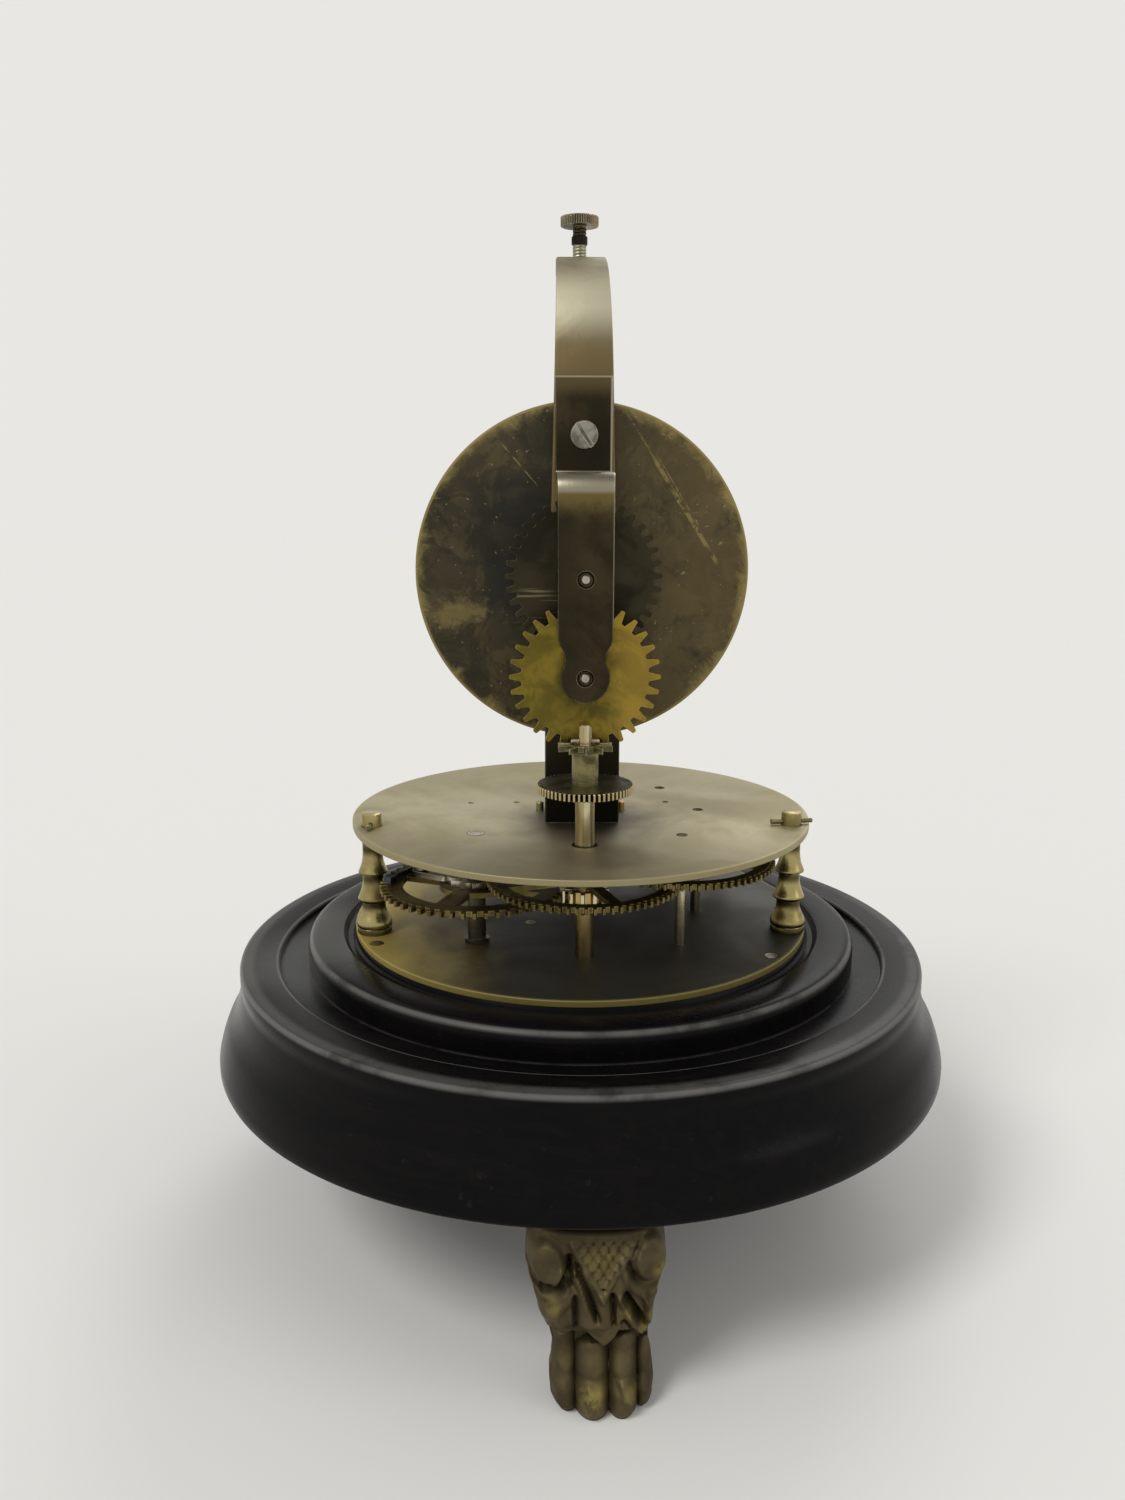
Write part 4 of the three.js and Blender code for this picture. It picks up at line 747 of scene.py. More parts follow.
def bronze_material():
    """Cast feet, brown patina with painted shade in the hollows and gold wear with painted highlights on
    what stands out.
    """
    s = Surface("foot_bronze")
    point = s.add("NewGeometry").outputs["Pointiness"]
    patches = s.range(s.noise(90, 4, 0.6), 0.36, 0.66)
    color = s.mix(patches, (98, 87, 60), (74, 65, 46))
    # Dark hollows: brown patina with painted shade
    hollow = s.range(point, 0.47, 0.40)
    color = s.mix(s.times(hollow, 0.85), color, (30, 26, 20))
    ragged = s.range(s.noise(330, 5, 0.7, shift=4), 0.36, 0.52)
    # Places rubbed to gold with painted highlights, set for the rear foot, as across, height, reach and
    # amount
    gold = [(-0.2, 4.2, 3.4, 0.85), (7.0, 4.6, 2.4, 0.5), (6.0, 21.5, 1.7, 0.7), (10.6, 20.5, 1.8, 0.7),
            (9.2, 17.2, 1.9, 0.7), (11.9, 29.4, 2.2, 0.5), (1.6, 31.5, 4.0, 0.3), (-7.0, 22.6, 2.6, 0.3)]
    for x, z, reach, amount in gold:
        near = s.range(s.distance((x, 0, z), (1, 0, 1)), reach * 0.2 * MM, reach * MM, amount, 0.0)
        color = s.mix(s.times(near, ragged), color, (148, 134, 72))
    grain = s.noise(1100, 3, 0.6)
    rough = s.range(s.plus(patches, grain), 0.3, 1.6, 0.5, 0.68, smooth=False)
    s.bump(grain, 0.35, 0.00007)
    return s.finish(color, rough, metallic=0.85)


def paper_material():
    """Printed dial paper, yellowed and spotted."""
    s = Surface("dial_paper")
    cloud = s.range(s.noise(60, 4, 0.6), 0.35, 0.7)
    color = s.mix(cloud, (232, 225, 204), (221, 210, 182))
    spots = s.range(s.noise(420, 3, 0.6, shift=2), 0.64, 0.74, 0.0, 0.45)
    color = s.mix(spots, color, (176, 148, 104))
    edge = s.range(s.distance((0, 0, DIAL_AXIS), (1, 0, 1)), 0.029, 0.033, 0.0, 0.35)
    color = s.mix(edge, color, (188, 166, 122))
    fibre = s.noise(1600, 3, 0.7)
    s.bump(fibre, 0.12, 0.00004)
    return s.finish(color, s.range(fibre, 0.3, 0.7, 0.62, 0.76), metallic=0.0)


def ink_material():
    s = Surface("dial_ink")
    worn = s.range(s.noise(900, 3, 0.6), 0.62, 0.78)
    color = s.mix(worn, (26, 24, 24), (92, 86, 78))
    return s.finish(color, s.range(worn, 0.0, 1.0, 0.5, 0.7), metallic=0.0)


MATERIALS["wood"] = wood_material()
MATERIALS["bronze"] = bronze_material()
MATERIALS["paper"] = paper_material()
MATERIALS["ink"] = ink_material()


# The wooden base

COVE = [(82.35, 41.7), (81.6, 44.4), (80.5, 47.2), (79.3, 49.4), (78.35, 51.6), (77.6, 54.2), (77.05, 56.6)]
# From the floor of the movement's well over the underside, cove, rim, dome groove and ring back to it
BASE_PROFILE = [
    (46.2, 45.0), (0.0, 45.0), (0.0, BASE_UNDERSIDE), (81.9, BASE_UNDERSIDE), (82.35, 39.15), (82.5, 39.5),
    (82.5, 40.8), *curve(COVE), (77.1, 57.8), (77.2, 58.4), (77.2, 60.5), (77.0, 61.0), (76.5, 61.32),
    (75.9, 61.4), (69.6, 61.4), (68.9, 61.2), (68.5, 60.7), (68.4, 60.2), (68.4, 59.8), (62.2, 59.8),
    (62.2, 63.8), (62.05, 64.8), (61.6, 65.6), (60.9, 66.1), (59.9, 66.3), (54.9, 66.3), (54.3, 66.1),
    (53.9, 65.5), (53.3, 65.0), (52.2, 64.9), (51.7, 65.3), (51.4, 66.0), (51.2, 66.3), (46.2, 66.3),
    (46.2, 45.0),
]


def base():
    obj = to_object("fine_wood_base", revolve(BASE_PROFILE, 192))
    carve(obj, revolve([(0, 38), (7, 38), (7, 46.5), (0, 46.5)], 32, GREAT))
    finish_piece(obj, "frame", "wood", ["wood_base"])


# Cast feet


def ridge(x, z, x0, z0, x1, z1, width):
    """1 on the line between two points and 0 beyond the width from it."""
    dx, dz = x1 - x0, z1 - z0
    t = min(1.0, max(0.0, ((x - x0) * dx + (z - z0) * dz) / (dx * dx + dz * dz)))
    d = math.hypot(x - x0 - t * dx, z - z0 - t * dz)
    return 1.0 - step(d, 0.0, width)


# The foot's lean to one side at its top, and how far its ornament may reach to the front
FOOT_LEAN = 0.6
FOOT_REACH = 12.35
# Half width, front and back of the foot, by height
FOOT_HALF = [
    (0, 8.4), (2.0, 9.4), (5, 9.6), (8.5, 9.2), (12, 8.8), (15, 9.0), (18, 9.8), (21, 10.6), (24, 11.3),
    (27, 12.2), (29.5, 12.7), (33, 12.5), (36.5, 11.3), (37.4, 11.0), (38, 10.2), (40, 10.2),
]
FOOT_FRONT = [
    (0, 11.2), (1.6, 12.0), (4, 11.7), (7.5, 9.9), (12, 8.2), (16, 7.8), (17.4, 8.0), (19, 9.3),
    (24, 9.4), (28, 9.8), (33, 10.3), (36.3, 10.4), (37.0, 9.9), (37.3, 6.0), (40, 5.6),
]
FOOT_BACK = [(0, 1.6), (5, 2.0), (10, 3.1), (20, 4.1), (32, 2.5), (37, 0.5), (40, 0.0)]
# How much lower a height is on the foot than it looks, because the foot's front is hollow
HOLLOW = [(0, 0), (4, 0.3), (9, 1.4), (14, 1.8), (18, 1.7), (22, 1.2), (30, 0.8), (40, 0.5)]
# Shoulder pads as middle across, middle height, half width and half height
PADS = [(-8.7, 31.8, 3.3, 4.6), (9.9, 32.4, 3.6, 4.9)]
# Folds as the two ends of a line, its half width and how far it stands out or goes in
FOLDS = [
    (-4.2, 35.4, 1.0, 25.4, 1.1, 1.0), (6.5, 35.6, 1.5, 25.8, 1.1, 1.0), (6.8, 33.4, 3.9, 26.2, 1.6, 1.0),
    (-2.7, 29.8, -1.3, 20.6, 1.9, 1.3), (1.3, 24.2, 1.4, 17.2, 2.8, 1.3), (-4.9, 25.4, -8.6, 22.3, 2.0, 1.6),
    (-6.0, 31.0, -7.6, 26.6, 1.0, 1.0), (4.4, 25.2, 8.0, 18.2, 1.4, 1.6), (9.0, 24.8, 10.3, 17.7, 1.2, 1.8),
    (-6.8, 22.0, -5.4, 18.8, 1.8, 0.9), (-3.7, 31.6, 0.2, 21.8, 0.9, -1.9),
    (2.9, 25.6, 3.0, 20.2, 0.8, -1.5), (-4.8, 33.0, -4.7, 27.8, 0.9, -1.8),
    (5.1, 25.4, 9.1, 19.1, 1.0, -2.6), (5.0, 20.2, 8.2, 16.4, 1.2, -2.0),
    (-9.4, 26.2, -6.0, 26.9, 0.9, -1.2), (-3.9, 25.4, -3.6, 19.6, 0.8, -1.2),
]
# Height at which the leaves end, by place across
LEAF_ENDS = [
    (-12, 18.6), (-8, 18.2), (-5.5, 17.6), (-3.2, 19.0), (0, 16.7), (1.4, 15.6), (3, 16.6), (5, 19.3),
    (6.6, 17.4), (8.4, 16.2), (10.2, 16.8), (12, 18),
]
# Toes as middle across, half width, top and how far they stand out
TOES = [(-6.2, 2.5, 18.0, 1.9), (-0.6, 3.0, 15.4, 2.7), (5.1, 2.6, 16.8, 2.7), (9.6, 1.9, 15.0, 2.0)]


def foot_relief(x, z):
    """How far the ornament stands out at a place on the foot's front."""
    x, z = x - FOOT_LEAN, z + between(HOLLOW, z, True)
    out = 0.0
    for middle, height, half, tall in PADS:
        reach = math.hypot((x - middle) / half, (z - height) / tall)
        out += 1.6 * step(1 - reach, 0.0, 0.3)
        low = step(height + 1.5 - z, 0.0, 3.0)
        out -= 1.3 * low * step(0.2 - abs(reach - 1.16), 0.0, 0.2)
        out += 0.6 * low * step(0.24 - abs(reach - 1.5), 0.0, 0.24)

    # Scales on the pointed panel, row over row
    panel = step(0.58 * (z - 26.4) - abs(x - 1.2), 0.0, 0.4) * step(36.2 - z, 0.0, 0.5)
    row = math.floor(z / 1.6)
    across = (x - 1.2) / 1.8 + 0.5 * (row % 2)
    scale = max(0.0, 1 - (2 * (across - math.floor(across)) - 1) ** 2) * (1 - 0.6 * (z / 1.6 - row))
    out += panel * (0.75 * scale - 0.4)

    end = between(LEAF_ENDS, x, True)
    leaf = step(z, end - 0.5, end + 0.3)
    for x0, z0, x1, z1, width, height in FOLDS:
        out += leaf * height * ridge(x, z, x0, z0, x1, z1, width)
    out += 0.9 * leaf * step(30 - z, 0, 8)

    # Toes with rounded tops and wide gaps, and claws on the middle two
    deep = 1.0 - step(z, 16.8, 17.6)
    out -= 2.6 * (1 - leaf) * deep
    for middle, half, top, height in TOES:
        rise = max(0.0, (z - top + 2.6) / 2.6)
        width = half * math.sqrt(max(0.0, 1 - rise * rise)) if rise < 1 else 0.0
        if abs(x - middle) < width:
            out += (1 - leaf) * height * (1 - ((x - middle) / width) ** 2) ** 0.8
    out += 0.8 * (1 - leaf) * ridge(x, z, -1.2, 7.0, -0.9, 2.4, 1.5)
    out += 0.8 * (1 - leaf) * ridge(x, z, 5.0, 7.4, 6.5, 3.1, 1.5)
    return out


def foot_shape():
    """The foot in its own frame: across is x, its front faces -Y and it stands on z = 0."""
    rows, front, rest = 180, 150, 28
    loops = []
    for k in range(rows + 1):
        z = BASE_UNDERSIDE * k / rows
        half, reach, back = (between(table, z, True) for table in (FOOT_HALF, FOOT_FRONT, FOOT_BACK))
        lean = FOOT_LEAN + 1.2 * step(22 - z, 0, 14)
        depth = reach - back
        loop = []
        for i in range(front + 1):
            s = -1 + 2 * i / front
            angle = s * math.pi / 2
            x = lean + half * math.copysign(abs(math.sin(angle)) ** 0.92, s)
            y = back + depth * max(0.0, math.cos(angle)) ** 0.42
            y += foot_relief(x, z) * step(1 - abs(s), 0.02, 0.22)
            loop.append((x, -min(y, FOOT_REACH), z))
        for i in range(1, rest):
            loop.append((lean + half * (1 - 2 * i / rest), -back, z))
        loops.append(loop)
    return loft(loops)


def foot_pad():
    """The pad that is screwed under the base."""
    outline = [polar(9.0, math.pi * i / 20) for i in range(21)]
    outline = [(x * 1.28, y) for x, y in outline] + [(-11.5, -1.0), (11.5, -1.0)]
    return blank([outline], 36.2, 2.8, 0.3, 2)


def feet():
    shape = foot_shape()
    for side, angle in FOOT_ANGLES.items():
        placed = Shape().merge(shape, foot_pad()).moved(dy=-FOOT_CIRCLE).turned(angle + math.pi / 2)
        fine(f"foot_{side}", placed, "frame", "bronze", 50)


# Plates and pillars


def plates():
    base_screws = [polar(48.9, a - 0.1) for a in (-math.pi / 6, math.pi / 2 + 0.35, 7 * math.pi / 6)]
    post = polar(SPRING_POST_CIRCLE, math.pi / 4, GREAT)
    low = [circle(PLATE_RADIUS, 200)]
    low += [circle(0.88, 20, c) for c in (HOUR, THIRD, FOURTH, FIFTH, CRANK)]
    low += [circle(2.08, 24, GREAT), circle(1.23, 20, post)]
    low += [circle(1.73, 24, c) for c in PILLARS.values()]
    low += [circle(1.53, 20, c) for c in base_screws]
    low_plate = blank(low, RING_TOP, PLATE_THICKNESS, 0.22, 2)
    fine("lower_plate", low_plate, "frame", "lower_plate", SHEET)
    high = [circle(PLATE_RADIUS, 200)]
    high += [circle(0.88, 20, c) for c in (THIRD, FOURTH, FIFTH)]
    high += [circle(1.28, 20, GREAT), circle(HOUR_SHAFT + 0.08, 28, HOUR), circle(1.28, 24, CRANK)]
    high += [circle(2.23, 24, c) for c in PILLARS.values()]
    high += [circle(1.55, 20, (0.0, -4.5))]
    high += [circle(STEADY_PIN + 0.03, 20, (side * STEADY_PIN_X, 0.0)) for side in (-1, 1)]
    high += [circle(0.7, 18, c) for c in ((-14.7, 7.5), (-25.4, 7.0), (20.2, 7.4))]
    high_plate = blank(high, UPPER_BOTTOM, PLATE_THICKNESS, 0.22, 2)
    fine("upper_plate", high_plate, "frame", "upper_plate", SHEET)

    # Oil sinks round the pivot holes, as centre, outer radius and hole, and the bush round the winding arbor
    sinks = Shape()
    holes = [(THIRD, 1.3, 0.9), (FOURTH, 1.3, 0.9), (FIFTH, 1.3, 0.9), (HOUR, 2.7, HOUR_SHAFT + 0.12),
             (GREAT, 2.0, 1.76), (CRANK, 1.9, 1.3)]
    for centre, outer, hole in holes:
        ring = [(hole, -0.3), (outer, -0.3), (outer, 0.015), (hole + 0.12, 0.03), (hole, -0.1), (hole, -0.3)]
        sinks.merge(revolve(raised(UPPER_TOP, ring), 32, centre))
    ring = raised(LOWER_TOP, [(0.9, -0.3), (1.5, -0.3), (1.5, 0.015), (0.9, 0.02), (0.9, -0.3)])
    for centre in (HOUR, THIRD, FOURTH, FIFTH, CRANK):
        sinks.merge(revolve(ring, 32, centre))
    piece("oil_sinks", sinks, "frame", "sink")
    bush = [(1.28, -0.3), (1.28, 0.03), (1.72, 0.04), (1.75, -0.3), (1.28, -0.3)]
    piece("bush_ring", revolve(raised(UPPER_TOP, bush), 40, GREAT), "frame", "steel")


# A foot and three bells, each with a lip over a narrow neck
PILLAR_PROFILE = [
    (0, 66.3), (1.7, 66.3), (1.7, 67.7), (3.6, 67.7), (3.8, 67.9), (3.8, 68.9), (3.7, 69.05), (3.8, 69.2),
    (3.9, 69.6), (3.85, 70.2), (3.6, 70.9), (3.25, 71.6), (2.85, 72.4), (2.6, 73.2), (2.55, 74.2),
    (2.6, 74.8), (2.9, 75.1), (3.35, 75.35), (3.45, 75.55), (3.45, 75.75), (3.3, 76.1), (2.95, 76.9),
    (2.6, 77.9), (2.4, 78.9), (2.3, 79.8), (2.3, 80.8), (2.35, 81.2), (2.8, 81.35), (3.1, 81.42),
    (3.2, 81.55), (3.2, 81.75), (3.05, 82.1), (2.75, 82.8), (2.45, 83.7), (2.25, 84.8), (2.15, 86),
    (2.15, 87.4), (2.2, 88.6), (2.3, 89.5), (2.7, 89.7), (3.1, 89.85), (3.1, 90.6), (2.2, 90.6),
    (2.2, 94.5), (2.05, 94.85), (1.7, 95), (0, 95),
]


def pillars():
    for side, centre in PILLARS.items():
        fine(f"pillar_{side}", revolve(PILLAR_PROFILE, 56, centre), "frame", "pillar", 40)
        angle = math.pi / 2 if side == "left" else 0.12
        pin = revolve([(0, -4.7), (0.5, -4.7), (0.6, -4.6), (0.48, 4.62), (0.4, 4.7), (0, 4.7)], 20)
        pin = pin.changed(lambda x, y, z: (x, z, -y)).turned(angle - math.pi / 2)
        fine(f"pillar_pin_{side}", pin.moved(centre[0], centre[1], UPPER_TOP + 0.75), "frame", "star")


# Wheels


def gear_loop(count, module, addendum, dedendum, phase, root, pitch, tip, scoop=0.06):
    """A gear's outline with rounded teeth and gaps, one tooth centred on the angle phase.

    The teeth's widths at root, pitch circle and tip are shares of the pitch, their heights of the module.
    """
    middle = count * module / 2
    unit = math.pi * module / 2
    bottom = middle - dedendum * module
    flank = [(bottom, root * unit), ((bottom + middle) / 2, 0.5 * (root + pitch) * unit),
             (middle, pitch * unit)]
    for t in (0.4, 0.75, 0.93):
        width = tip + (pitch - tip) * math.sqrt(1 - t * t)
        flank.append((middle + addendum * module * t, width * unit))
    flank.append((middle + addendum * module, tip * 0.55 * unit))
    points = []
    for i in range(count):
        angle = phase + TAU * i / count
        points += [polar(r, angle - w / r) for r, w in flank]
        points += [polar(r, angle + w / r) for r, w in reversed(flank)]
        points += [polar(bottom - scoop * module, angle + math.pi / count)]
    return points


def wheel_teeth(count, module, phase):
    return gear_loop(count, module, 0.6, 1.4, phase, 0.46, 0.38, 0.16)


def pinion_leaves(count, module, phase):
    return gear_loop(count, module, 0.9, 0.85, phase, 0.42, 0.42, 0.18)


def windows(hub, rim, arms, width, phase):
    """The openings between a wheel's arms."""
    loops = []
    for i in range(arms):
        start, end = phase + TAU * i / arms, phase + TAU * (i + 1) / arms
        loop = []
        for radius, steps, ahead in ((rim, 20, True), (hub, 8, False)):
            inset = math.asin(width / 2 / radius)
            for k in range(steps + 1):
                t = k / steps if ahead else 1 - k / steps
                loop.append(polar(radius, start + inset + t * (end - start - 2 * inset)))
        loops.append(loop)
    return loops


def shifted(loops, centre):
    return [[(x + centre[0], y + centre[1]) for x, y in loop] for loop in loops]


def bearing(a, b):
    return math.atan2(b[1] - a[1], b[0] - a[0])


def module_for(a, b, wheel, pinion):
    return 2 * math.dist(a, b) / (wheel + pinion)


TRAIN = {
    "hour": dict(centre=HOUR, before=GREAT, mate=THIRD, count=72, pinion=12, wheel_before=54, driven="great",
                 shaft=HOUR_SHAFT, body="hour_train"),
    "third": dict(centre=THIRD, before=HOUR, mate=FOURTH, count=72, pinion=8, wheel_before=72, driven="hour",
                  shaft=1.2, body="third"),
    "fourth": dict(centre=FOURTH, before=THIRD, mate=FIFTH, count=70, pinion=8, wheel_before=72,
                   driven="third", shaft=1.2, body="fourth"),
    "fifth": dict(centre=FIFTH, before=FOURTH, mate=CRANK, count=64, pinion=8, wheel_before=70,
                  driven="fourth", shaft=1.2, body="fifth"),
}


def wheel_loops(count, module, phase, bore, width=2.4, hub=4.2, rim=2.2):
    """The outlines of a wheel with four arms, one of them under the tooth on the angle phase."""
    root = count * module / 2 - 1.4 * module
    openings = windows(hub, root - rim, 4, width, phase)
    return [wheel_teeth(count, module, phase), circle(bore, 28), *openings]


def pinion_shape(count, module, bottom, top, towards):
    return blank([pinion_leaves(count, module, towards + math.pi / count)], bottom, top - bottom)


def driven_pinion(centre, before, count, wheel_before, driven, ceiling):
    bottom = driven + WHEEL_THICKNESS / 2 - 2.2
    top = min(bottom + 4.4, ceiling)
    module = module_for(before, centre, wheel_before, count)
    shape = pinion_shape(count, module, LOWER_TOP + bottom, LOWER_TOP + top, bearing(centre, before))
    return shape.moved(centre[0], centre[1])


STAR_TOP = MOTION_AXIS - (30 / 2 - MINUTE_DEDENDUM) * MINUTE_MODULE - 0.12
STAR_PIN = STAR_TOP + 0.6


def train():
    for name, w in TRAIN.items():
        level = LOWER_TOP + WHEEL_LEVELS[name]
        centre, shaft = w["centre"], w["shaft"]
        collar = 2.7 if name == "hour" else 2.1
        profile = [(0, RING_TOP + 0.1), (0.7, RING_TOP + 0.1), (0.8, RING_TOP + 0.3), (0.8, LOWER_TOP),
                   (shaft, LOWER_TOP + 0.01), (shaft, level - 0.6), (collar - 0.1, level - 0.6),
                   (collar, level - 0.5), (collar, level - 0.05), (shaft, level - 0.05)]
        if name == "hour":
            tip = STAR_TOP + 4
            profile += [(shaft, STAR_TOP), (1.35, STAR_TOP), (1.35, tip - 0.25), (1.1, tip), (0, tip)]
        else:
            profile += raised(UPPER_BOTTOM, [(shaft, -0.25), (shaft - 0.1, -0.2), (0.8, -0.2)])
            profile += raised(UPPER_TOP, [(0.8, -0.5), (0.6, -0.3), (0, -0.3)])
        ceiling = WHEEL_LEVELS[name] if WHEEL_LEVELS[name] > WHEEL_LEVELS[w["driven"]] else 22.6
        leaves = driven_pinion(centre, w["before"], w["pinion"], w["wheel_before"],
                               WHEEL_LEVELS[w["driven"]], ceiling)
        arbor = revolve(profile, 40, centre).merge(leaves)
        fine(f"{name}_arbor", arbor, w["body"], "shaft")
        module = module_for(centre, w["mate"], w["count"], 8)
        loops = wheel_loops(w["count"], module, bearing(centre, w["mate"]), shaft + 0.03)
        wheel = blank(shifted(loops, centre), level, WHEEL_THICKNESS, 0.08)
        fine(f"{name}_wheel", wheel, w["body"], "wheel", SHEET)

    pin = revolve([(0, -2.9), (0.35, -2.9), (0.5, -2.75), (0.5, 2.75), (0.35, 2.9), (0, 2.9)], 20)
    pin = pin.changed(lambda x, y, z: (z, y, -x)).moved(HOUR[0], HOUR[1], STAR_PIN)
    fine("star_pin", pin, "hour_train", "steel")


# Winding work


def winding():
    level = LOWER_TOP + WHEEL_LEVELS["great"]
    module = module_for(GREAT, HOUR, 54, 12)
    towards = bearing(GREAT, HOUR)
    loops = wheel_loops(54, module, towards, 2.08, width=4, hub=8, rim=3.4)
    fine("great_wheel", blank(shifted(loops, GREAT), level, WHEEL_THICKNESS), "great", "wheel",
         SHEET)
    shaft = [(0, 47.0), (2.0, 47.0)]
    shaft += raised(LOWER_TOP, [(2.0, 0), (2.6, 0), (2.7, 0.1), (2.7, 0.9), (2.6, 1), (2.0, 1)])
    shaft += raised(level, [(2.0, -1), (3.3, -1), (3.4, -0.9), (3.4, -0.05), (2.0, -0.05)])
    shaft += raised(UPPER_BOTTOM, [(2.0, -0.2), (1.2, -0.2)])
    shaft += raised(UPPER_TOP, [(1.2, -0.12), (1.05, 0), (0, 0)])
    arbor = revolve(shaft, 40).merge(block(-1.6, 1.6, -1.6, 1.6, 41.0, 48.0, 0.25))
    fine("winding_arbor", arbor.moved(*GREAT), "winding", "winding")

    end = raised(UPPER_TOP, [(0, -0.1), (1.15, -0.1), (1.15, 0), (1.0, 0.03), (0, 0.04)])
    piece("winding_arbor_tip", revolve(end, 36, GREAT), "winding", "steel")

    # The ratchet and click, drawn as in the model and turned on to a wheel arm
    teeth, ratchet_root, ratchet_tip = 14, 5.0, 6.2
    tip_angle = 5 * TAU / teeth
    tip = polar(ratchet_root + 0.15, tip_angle - 0.03)
    heel = polar(ratchet_tip + 0.6, tip_angle - 0.03)
    side = tip_angle - math.pi / 4
    pivot = polar(9, side, tip)
    turn = bearing(GREAT, HOUR) + math.pi - math.atan2(pivot[1], pivot[0])

    def spun(points):
        return [polar(math.hypot(x, y), math.atan2(y, x) + turn) for x, y in points]

    outline = []
    for i in range(teeth):
        a = i * TAU / teeth
        outline += [polar(ratchet_root, a), polar(ratchet_tip, a)]
        for t in (0.35, 0.7):
            outline.append(polar(ratchet_tip + (ratchet_root - ratchet_tip) * t, a + t * TAU / teeth))
    ratchet = blank([spun(outline), circle(2.03, 24)], level + 1.2, 1.5, 0.08)
    fine("ratchet_wheel", ratchet.moved(*GREAT), "winding", "steel", SHEET)
    hub = [polar(1.9, side + k * math.pi / 8, pivot) for k in range(-4, 5)]
    screw_at = spun([pivot])[0]
    click = blank([spun([tip, *hub, heel]), circle(0.98, 20, screw_at)], level + 1.3, 1.2)
    fine("click", click.moved(*GREAT), "click", "steel", SHEET)
    top = level + 2.6
    head = raised(top, [(0.9, 0), (1.6, 0), (1.7, 0.1), (1.7, 0.75), (1.5, 0.9), (0, 0.9)])
    obj = to_object("fine_click_screw", revolve([(0, level), (0.9, level), *head], 32))
    carve(obj, block(-0.22, 0.22, -2.2, 2.2, top + 0.5, top + 1.4, 0.02))
    place = (screw_at[0] + GREAT[0], screw_at[1] + GREAT[1], 0)
    obj.data.transform(Matrix.Translation([v * MM for v in place]))
    finish_piece(obj, "great", "steel", ["click_screw"])


# Swan-neck arm and the strap on its back


def arm_stations():
    """Outer and inner edge of the arm on the middle plane, from the foot to the tip, with its width."""
    foot, bend, top, under = UPPER_TOP, UPPER_TOP + 93, UPPER_TOP + 122.2, UPPER_TOP + 119
    bend_y = ARM_BACK + ARM_BEND_RADIUS

    def width(z):
        table = [(foot - 1, 16.2), (foot + 20, 16.2), (bend, 12.2), (top + 1, 2 * ARM_TIP_RADIUS)]
        return between(table, z)

    rows = [((ARM_BACK, foot + d), (2.0, foot + d)) for d in (0.0, 0.25, 1.5, 3.3)]
    rows += [((ARM_BACK, foot + 4.1), (1.6, foot + 4.4)), ((ARM_BACK, foot + 4.6), (0.4, foot + 5.0)),
             ((ARM_BACK, foot + 5.0), (-3.0, foot + 5.05)), ((ARM_BACK, foot + 5.6), (-4.5, foot + 5.7)),
             ((ARM_BACK, foot + 6.6), (-5.0, foot + 6.8))]
    rows += [((ARM_BACK, foot + z), (DIAL_BACK, foot + z)) for z in (12, 20, 36, 52, 68, 84)]
    for i in range(33):
        a = i * math.pi / 64
        rows.append(((bend_y - ARM_BEND_RADIUS * math.cos(a), bend + (top - bend) * math.sin(a)),
                     (bend_y - (bend_y - DIAL_BACK) * math.cos(a), bend + (under - bend) * math.sin(a))))
    stations = [(o, i, width((o[1] + i[1]) / 2)) for o, i in rows]
    for k in range(1, 17):
        d = ARM_TIP_RADIUS * math.sin(k * math.pi / 32)
        y = CRANK[1] + d
        span = min(2 * ARM_TIP_RADIUS, 2 * math.sqrt(max(0.02, ARM_TIP_RADIUS ** 2 - d * d)))
        stations.append(((y, top), (y, under), span))
    return stations


def strap(stations, ease):
    """A bar over [outer, inner, width] stations with its long edges rounded."""
    loops = []
    for outer, inner, width in stations:
        length = math.dist(outer, inner)
        uy, uz = (inner[0] - outer[0]) / length, (inner[1] - outer[1]) / length
        e = min(ease, width * 0.3)
        h = width / 2

        def at(x, d):
            return (x, outer[0] + uy * d, outer[1] + uz * d)

        k = 0.3
        loops.append([at(-h + e, 0), at(h - e, 0), at(h - e * k, e * k), at(h, e), at(h, length - e),
                      at(h - e * k, length - e * k), at(h - e, length), at(-h + e, length),
                      at(-h + e * k, length - e * k), at(-h, length - e), at(-h, e), at(-h + e * k, e * k)])
    return loft(loops)


def arm():
    fine("arm", strap(arm_stations(), 0.45), "frame", "arm")
    r = STEADY_PIN
    for side, x in (("left", -STEADY_PIN_X), ("right", STEADY_PIN_X)):
        end = raised(UPPER_TOP, [(r, 1.8), (r - 0.15, 2.05), (r - 0.45, 2.1), (0, 2.1)])
        pin = revolve([(0, UPPER_BOTTOM), (r, UPPER_BOTTOM), *end], 28, (x, 0.0))
        fine(f"steady_pin_{side}", pin, "frame", f"pin_{side}")


